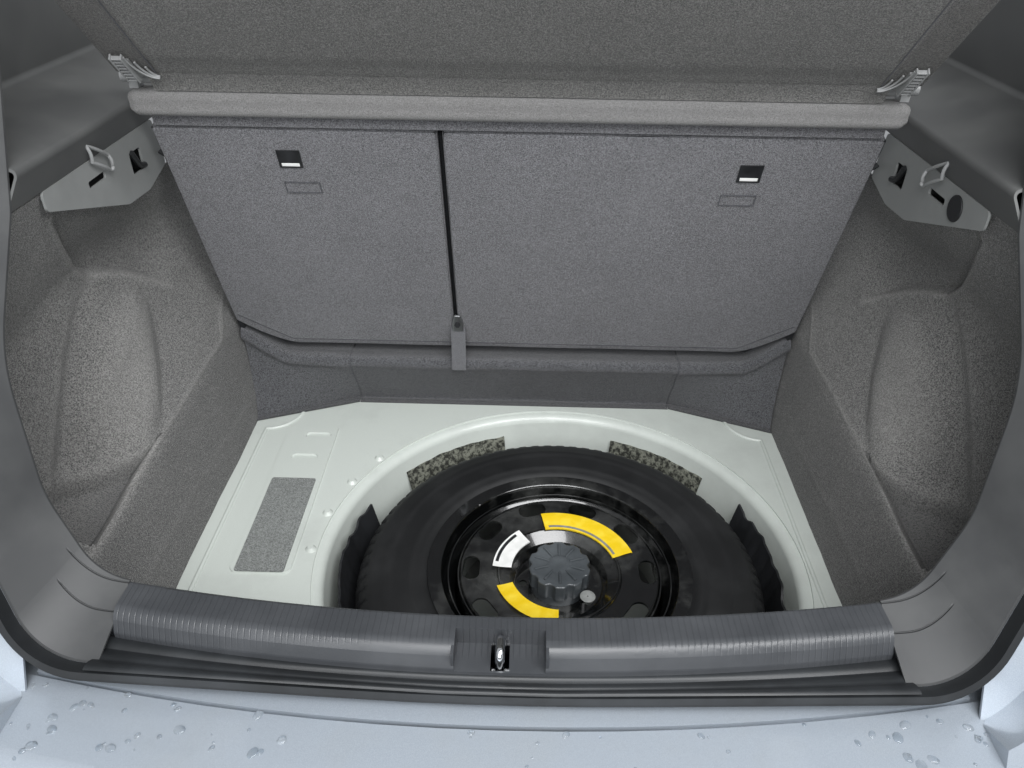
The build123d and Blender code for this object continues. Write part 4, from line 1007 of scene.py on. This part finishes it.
# Felt strip from the bar to the shelf's edge, where the shelf hinges; it is laid out in the shelf's resting
# place, on no body.
low, bend, high = Vector((575, 403.4)), Vector((574.4, 411)), Vector(on_shelf(0, 27, 1.5)[1:])
strip, strip_rows = [], [
    low * (1 - t) ** 2 + bend * 2 * t * (1 - t) + high * t * t for t in (n / 8 for n in range(9))
]
strip_rows.append(Vector(on_shelf(0, 36, 2.5)[1:]))
for y, z in strip_rows:
    for k in range(80):
        x = -478 + 956 * k / 79
        strip.append((x, y + 0.4 * waves(x, y, z, 60), z))
hinge_strip = piece(
    grid("hinge_strip", len(strip_rows), 80), strip, shelf_under_felt, None, thick=1.2
)
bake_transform(hinge_strip)

# Valance under the bar, which closes the gap over the seat backs.
start, points = block("bar_valance", (1004, 4, 19), 1.5, 24)
piece(start, [(-502 + u, 597 + v, 351 + w) for u, v, w in points], back_felt)

# Clips: a ribbed ladder and curved web on each, with the light pin that the shelf turns on.
for side in (-1, 1):
    label = "right" if side > 0 else "left"
    for edge in (485.2, 499.0):
        start, points = block(f"clip_rail_{label}_{int(edge)}", (2.2, 52, 8), 0.9, 13)
        piece(
            start,
            [on_shelf(side * (edge - 1.1 + u), 24 + v, -12.5 + w) for u, v, w in points],
            clip_plastic,
            "parcel_shelf",
        )
    for n in range(8):
        start, points = block(f"clip_rung_{label}_{n}", (13, 1.8, 6), 0.7, 7)
        piece(
            start,
            [on_shelf(side * (485.6 + u), 27 + 6.4 * n + v, -11.5 + w) for u, v, w in points],
            clip_plastic,
            "parcel_shelf",
        )
    for n in range(3):
        web = []
        for t in range(13):
            turn = math.radians(90 * t / 12)
            inward, back = (26 - 8 * n) * (1 - math.cos(turn)), (44 - 12 * n) * (1 - math.sin(turn))
            web.append(on_shelf(side * (484 - 8 * n - inward), 28 + back, -7 + 1.5 * n))
        tube(f"clip_web_{label}_{n}", web, 1.4, clip_plastic, "parcel_shelf", 6)
    tube(
        f"hinge_pin_{label}",
        [(side * x, *SHELF_AT) for x in (452, 453, 483, 484)],
        7.0,
        clip_plastic,
        "parcel_shelf",
        20,
    )
    tube(
        f"hinge_rod_{label}",
        [(side * x, SHELF_AT[0], SHELF_AT[1] + 1) for x in (434, 452)],
        3.2,
        clip_plastic,
        "parcel_shelf",
        12,
    )
    tube(
        f"bracket_cap_{label}",
        [(side * x, *SHELF_AT) for x in (514, 515, 524, 525)],
        7.5,
        clip_plastic,
        "root",
        20,
    )


# Pockets behind the belt's hole and the slot: near-black boxes, painted shade in the recesses.
def pocket(name, side, forward, rise, length, tall, deep):
    """An open box behind a hole in a side trim."""
    mouth, margin = 532.4, 4
    y, z = length / 2 + margin, tall / 2 + margin
    points = [
        (side * x, forward + ahead, rise + above)
        for x in (mouth, mouth + deep)
        for ahead in (-y, y)
        for above in (-z, z)
    ]
    bpy.ops.object.select_all(action="DESELECT")
    bpy.ops.mesh.primitive_cube_add(size=1, location=(0, 0, 0))
    start = named(name)
    select_only(start, (0, 1, 2, 3))
    bpy.ops.mesh.delete(type="ONLY_FACE")
    bpy.ops.object.mode_set(mode="OBJECT")
    piece(start, points, pocket_painted_shade, thick=0.8)


for side, label in ((1, "right"), (-1, "left")):
    pocket(f"belt_pocket_{label}", side, 580, 306, 34, 30, 22)
    pocket(f"slot_pocket_{label}", side, 470, 318, 44, 9, 10)
    lug = [
        (side * 528, 566 + 30 * t / 14, 322 - 26 * (t / 14) - 7 * math.sin(math.pi * t / 14))
        for t in range(15)
    ]
    tube(f"belt_guide_{label}", lug, 4.2, black_plastic, sides=10)
    hook = [
        (side * (527 - 20 * t / 16), 648 - 3 * t / 16, 299 - 5 * math.sin(math.pi * t / 16))
        for t in range(17)
    ]
    tube(f"latch_hook_{label}", hook, 4.0, black_plastic, sides=10)
    # Quarter liner: the dark trim between the upper moulding and the body side.
    rows = []
    for t in range(12):
        for k in range(16):
            y = 300 + 520 * k / 15
            x = 604 + 196 * t / 11
            rows.append((side * x, y, 553 - 24 * (t / 11) + 2 * waves(x, y, 0, 120)))
    piece(grid(f"quarter_liner_{label}", 12, 16), rows, upper_plastic, thick=2)
    # A near-black wall outboard of the side carpets, as painted shade behind them.
    wall = []
    for t in range(10):
        for k in range(14):
            y = 300 + 505 * k / 13
            z = -60 + 400 * t / 9
            wall.append((side * (664 + 6 * math.sin(k / 2) + 3 * waves(y, z, 0, 90)), y, z))
    piece(grid(f"inner_liner_{label}", 10, 14), wall, painted_shade_liner, thick=2)

# Shroud under the seat backs, ahead of the step carpets: a near-black sheet as painted shade under them.
shroud = []
for t in range(6):
    for k in range(60):
        x = -495 + 990 * k / 59
        shroud.append((x, 806 + 2 * waves(x, t * 9, 0, 80), -236 + 112 * t / 5))
piece(grid("seat_shroud", 6, 60), shroud, painted_shade_liner, thick=2)


# Split bracket: a plated clip with its screw, and the strap that hangs from it to the step.
start, points = block("split_bracket", (20, 40, 5), 2.2, 5)
piece(
    start,
    [
        (-103 + (u - 10) * (1 - 0.45 * smooth_step(v, 20, 40)), 739 - v * 0.3 + w, -54 + v)
        for u, v, w in points
    ],
    zinc,
)
tube(
    "split_screw",
    [(-103, 731.5, -34), (-103, 729, -34), (-103, 727.6, -34)],
    5.2,
    black_plastic,
    sides=6,
)
strap = []
strap_run = [
    (741, -44), (739, -58), (738, -76), (737, -94), (735, -108), (733.5, -117), (733, -124), (733.4, -134)
]
for y, z in strap_run:
    for k in range(9):
        strap.append((-116 + 26 * k / 8, y + 0.4 * math.sin(k * 2.1), z))
made = piece(grid("split_strap", len(strap_run), 9), strap, webbing, thick=1.2)

# Lips of the seal, which fill the way from the sill's lower edge to the bulb.
lips, lip_rows, lip_columns = [], 26, 121
for r in range(lip_rows):
    share = r / (lip_rows - 1)
    proud = 2.6 * abs(math.sin(3 * math.pi * share)) - 7 * math.sin(math.pi * share) * (1 - share)
    for c in range(lip_columns):
        x = -428 + 856 * c / (lip_columns - 1)
        rise = 0.0394 * max(abs(x), 60)
        top, foot = Vector((20.5 + x * x / 5300, -43)), Vector((-4.5 + rise * 0.44, -45.5 + rise * 0.9))
        at = top.lerp(foot, share)
        lips.append((x, at[0] - proud * 0.3, at[1] + proud))
piece(grid("seal_lips", lip_rows, lip_columns), lips, seal_rubber, thick=1.5)

# Pressed beads on the pan, inside its sides.
for side in (-1, 1):
    bead = [(side * 474, 100 + 590 * t / 30, -250) for t in range(31)]
    bead += [
        (side * (474 - 60 * math.sin(math.pi * t / 16)), 690 + 70 * (1 - math.cos(math.pi * t / 16)), -250)
        for t in range(1, 9)
    ]
    tube(f"pan_bead_{'right' if side > 0 else 'left'}", bead, 3.4, floor_paint, sides=12)
    hook = [(456, 366), (500, 341), (503, 324), (497, 322), (460, 344), (456, 366)]
    wire = []
    for (ay, az), (by, bz) in zip(hook, hook[1:]):
        wire += [
            (side * (524 - 2 * math.sin(math.pi * t / 6)), ay + (by - ay) * t / 6, az + (bz - az) * t / 6)
            for t in range(6)
        ]
    tube(
        f"bag_hook_{'right' if side > 0 else 'left'}",
        wire + [wire[0]],
        2.2,
        clip_plastic,
        sides=8,
    )

# Spare wheel: tyre with its shoulder cuts and sidewall rings, and the labels on the disc.
def tread(r, z, angle):
    """Cuts the shoulder's sipes and the tread's lateral grooves into the tyre."""
    along = (round(math.degrees(angle), 3) % 4.5) / 4.5
    centre = abs(z - TYRE_MIDDLE)
    if r > 300 and centre > 30 and along < 0.2:
        return (r - 4.5 * smooth_step(r, 300, 312), z - math.copysign(1.5, z - TYRE_MIDDLE) * (r > 304))
    if r > 300 and 0.5 < along < 0.58 and centre > 60:
        return (r - 1.6, z)
    return (r, z)


half = [
    (190.4, 66), (190.4, 88), (205, 89), (211, 91), (214, 93.6), (222, 95.6), (226, 95.2), (230, 97.0),
    (238, 97.4), (240, 96.4), (258, 97.2), (261, 96.2), (266, 97.3), (276, 97.2), (280, 95.6), (292, 93.5),
    (299, 91.5), (303, 88.5), (308, 85.5), (313, 80.5), (317, 74.5), (319.6, 67), (321.4, 60), (322, 50),
    (322.6, 47.6), (315.6, 47.2), (315.6, 41), (322.8, 40.4), (323.4, 20), (316.2, 19.4), (316.2, 13),
    (323.6, 12.4),
]
profile = [(r, TYRE_MIDDLE + h) for r, h in half] + [(r, TYRE_MIDDLE - h) for r, h in reversed(half)]
turned(
    "tyre",
    profile,
    WHEEL,
    tyre_rubber,
    steps=480,
    shape=tread,
    stands_for=("spare_tyre",),
    closed=True,
)


def sticker(name, low, high, start, end, look, height=0.0):
    """A thin sticker on the disc, between two radii and two angles."""
    steps = max(6, int((end - start) / 2))
    top, under = DISC_TOP + 0.5 + height, DISC_TOP - 2.4 + height
    rings = []
    for k in range(7):
        r = low + (high - low) * k / 6
        dip = 3.4 * smooth_step(122 - r, 0, 34)
        rings.append((r, top - dip))
    turned(
        name,
        [(low + 0.1, under - 3), *rings, (high - 0.1, under)],
        WHEEL,
        look,
        steps=steps,
        sweep=(start, end),
    )


sticker("arc_label_upper", 92, 126, 18, 103, label_yellow)
sticker("arc_label_band", 95, 99, 22, 99, label_grey, 0.3)
sticker("arc_label_lower", 78, 104, -160, -92, label_yellow)
sticker("plain_label", 76, 106, 128, 178, label_white, 0.4)
sticker("plain_label_band", 98, 103, 134, 172, label_black, 0.7)

# Pressed rings on the wheel's disc.
for ring, proud in ((160, 0.5), (176, 1.0), (96, 0.4)):
    foot, crest = DISC_TOP - 6, DISC_TOP - 4.4 + proud
    section = [(ring - 1.6, foot), (ring - 1.0, crest), (ring + 1.0, crest), (ring + 1.6, foot)]
    turned(f"rim_ring_{ring}", section, WHEEL, wheel_paint, steps=120)

# Knob dressing: a raised star, its boss and a ring of grip ribs.
star = [(0.5, -255.6), (9, -255.4), (13, -254.6), (16, -255.8), (20, -256.8)]
turned("knob_boss", star, WHEEL, knob_plastic, steps=40)
for n in range(10):
    turn = math.radians(36 * n + 18)
    ray = []
    for r in range(17, 44, 3):
        crest = -256.6 + 0.9 * math.sin(math.pi * (r - 17) / 27)
        ray.append((WHEEL[0] + r * math.cos(turn), WHEEL[1] + r * math.sin(turn), crest))
    tube(f"knob_rib_{n}", ray, 2.0, knob_plastic, sides=8)
turned(
    "grey_tag",
    [(1, DISC_TOP - 6), (7, DISC_TOP - 5.5), (12, DISC_TOP - 6.4)],
    (WHEEL[0] + 43, WHEEL[1] - 48),
    label_grey,
    steps=18,
)


# Damping mats on the well's wall, and the wavy sheets beside the tyre.
def mat_shape(seed, wavy):
    """A mat's lean and its uneven upper edge, ragged where it is a loose sheet."""

    def shape(r, z, angle):
        lift = 0.0
        if z > -300:
            ripple = waves(angle * 340, seed * 40, 0, 26) * (9 if wavy else 3)
            lift = ripple + (22 if wavy else 0)
        lean = (z + lift + 288) * 0.16
        return (r + lean - (3.5 * abs(waves(angle * 340, 5, seed, 34)) if wavy else 0), z + lift)

    return shape


for n, (start, end) in enumerate([(106, 140), (41, 72), (159, 208), (-28, 24)]):
    wavy = n > 1
    steps = int((end - start) * 2)
    profile = [
        (r - (18 if wavy else 0), h)
        for r, h in ((362.8, -289), (358.8, -313), (354.8, -339), (351.6, -339), (355.4, -313), (359.4, -289))
    ]
    turned(
        f"damping_mat_{n}",
        profile,
        WELL,
        black_plastic if wavy else damping_mat,
        steps=steps,
        sweep=(start, end),
        shape=mat_shape(n + 1, wavy),
        stands_for=("damping_pads",) if n == 0 else (),
        closed=True,
    )

# Water drops on the bumper, each a flattened bead on the paint.
bumper = nodes["bumper_cover"]
bead, drops, drop_points = grid("water_drops", 5, 13), [], []
for n in range(170):
    side = chance.choice((-1, -1, 1, 1, 0))
    x = chance.gauss(side * 430, 110)
    y = chance.uniform(-115, 12) + (abs(x) / 1000) ** 2 * 190
    radius = chance.choice((1.6, 2.2, 3.0, 3.8, 5.4))
    hit, at, normal, face = bumper.ray_cast(place(x, y, 100), Vector((0, 0, -1)))
    if not hit:
        continue
    side_way = normal.orthogonal().normalized()
    other_way = normal.cross(side_way)
    stretch = chance.uniform(0.8, 1.25)
    for ring in range(5):
        turn = math.pi / 2 * min(ring, 3) / 3.4
        for k in range(13):
            angle = 2 * math.pi * (k % 12) / 12
            flat = radius * math.cos(turn) * (1 + 0.12 * math.sin(angle * 2 + n)) / 1000 if ring < 4 else 0
            out = side_way * flat * stretch * math.cos(angle) + other_way * flat * math.sin(angle)
            point = at + normal * (radius * 0.34 * math.sin(turn) / 1000) + out
            drop_points.append((point.x * 1000, point.y * 1000 + 830, point.z * 1000 - 323))
    drop = bead
    if drops:
        drop = bead.copy()
        drop.data = bead.data.copy()
        scene.collection.objects.link(drop)
    drops.append(drop)
for drop in drops:
    drop.select_set(True)
bpy.context.view_layer.objects.active = bead
bpy.ops.object.join()
bead.select_set(False)
piece(bead, drop_points, water, sharp=80, weld=True)


# Soft daylight from over the camera's shoulder, as under an open tailgate.
def area_light(name, at, target, size, power, colour):
    """A soft rectangle of light that faces a point."""
    bpy.ops.object.light_add(type="AREA", location=at)
    lamp = bpy.context.object
    lamp.name = name
    lamp.data.shape = "RECTANGLE"
    lamp.data.size, lamp.data.size_y = size
    lamp.data.energy = power
    lamp.data.color = colour
    lamp.rotation_euler = (Vector(target) - Vector(at)).to_track_quat("-Z", "Y").to_euler()


area_light("sky_behind", (0.5, -1.75, 2.15), (0, -0.3, 0.1), (2.4, 1.3), 92, (0.985, 0.99, 1.0))
area_light("sky_low", (-0.3, -2.6, 1.2), (0, -0.2, 0.2), (2.0, 1.2), 24, (0.96, 0.98, 1.0))
world = scene.world or bpy.data.worlds.new("sky")
scene.world = world
world.use_nodes = True
world.node_tree.nodes["Background"].inputs["Color"].default_value = (0.9, 0.93, 0.96, 1)
world.node_tree.nodes["Background"].inputs["Strength"].default_value = 0.5

bpy.ops.mesh.primitive_plane_add(size=14, location=(0, 0, cad_box[0][2] - 0.002))
ground = bpy.context.object
ground.name = "ground"
ground_look, ground_tree, ground_shader = material("pale_ground", Roughness=0.8)
ground_noise = node(
    ground_tree, "ShaderNodeTexNoise", {"Vector": object_place(ground_tree), "Scale": 30.0, "Detail": 6.0}
)
join(
    ground_tree, ground_shader, Base_Color=mix(ground_tree, ground_noise.outputs["Fac"], "#bcbdbe", "#c8c9ca")
)
ground.data.materials.append(ground_look)
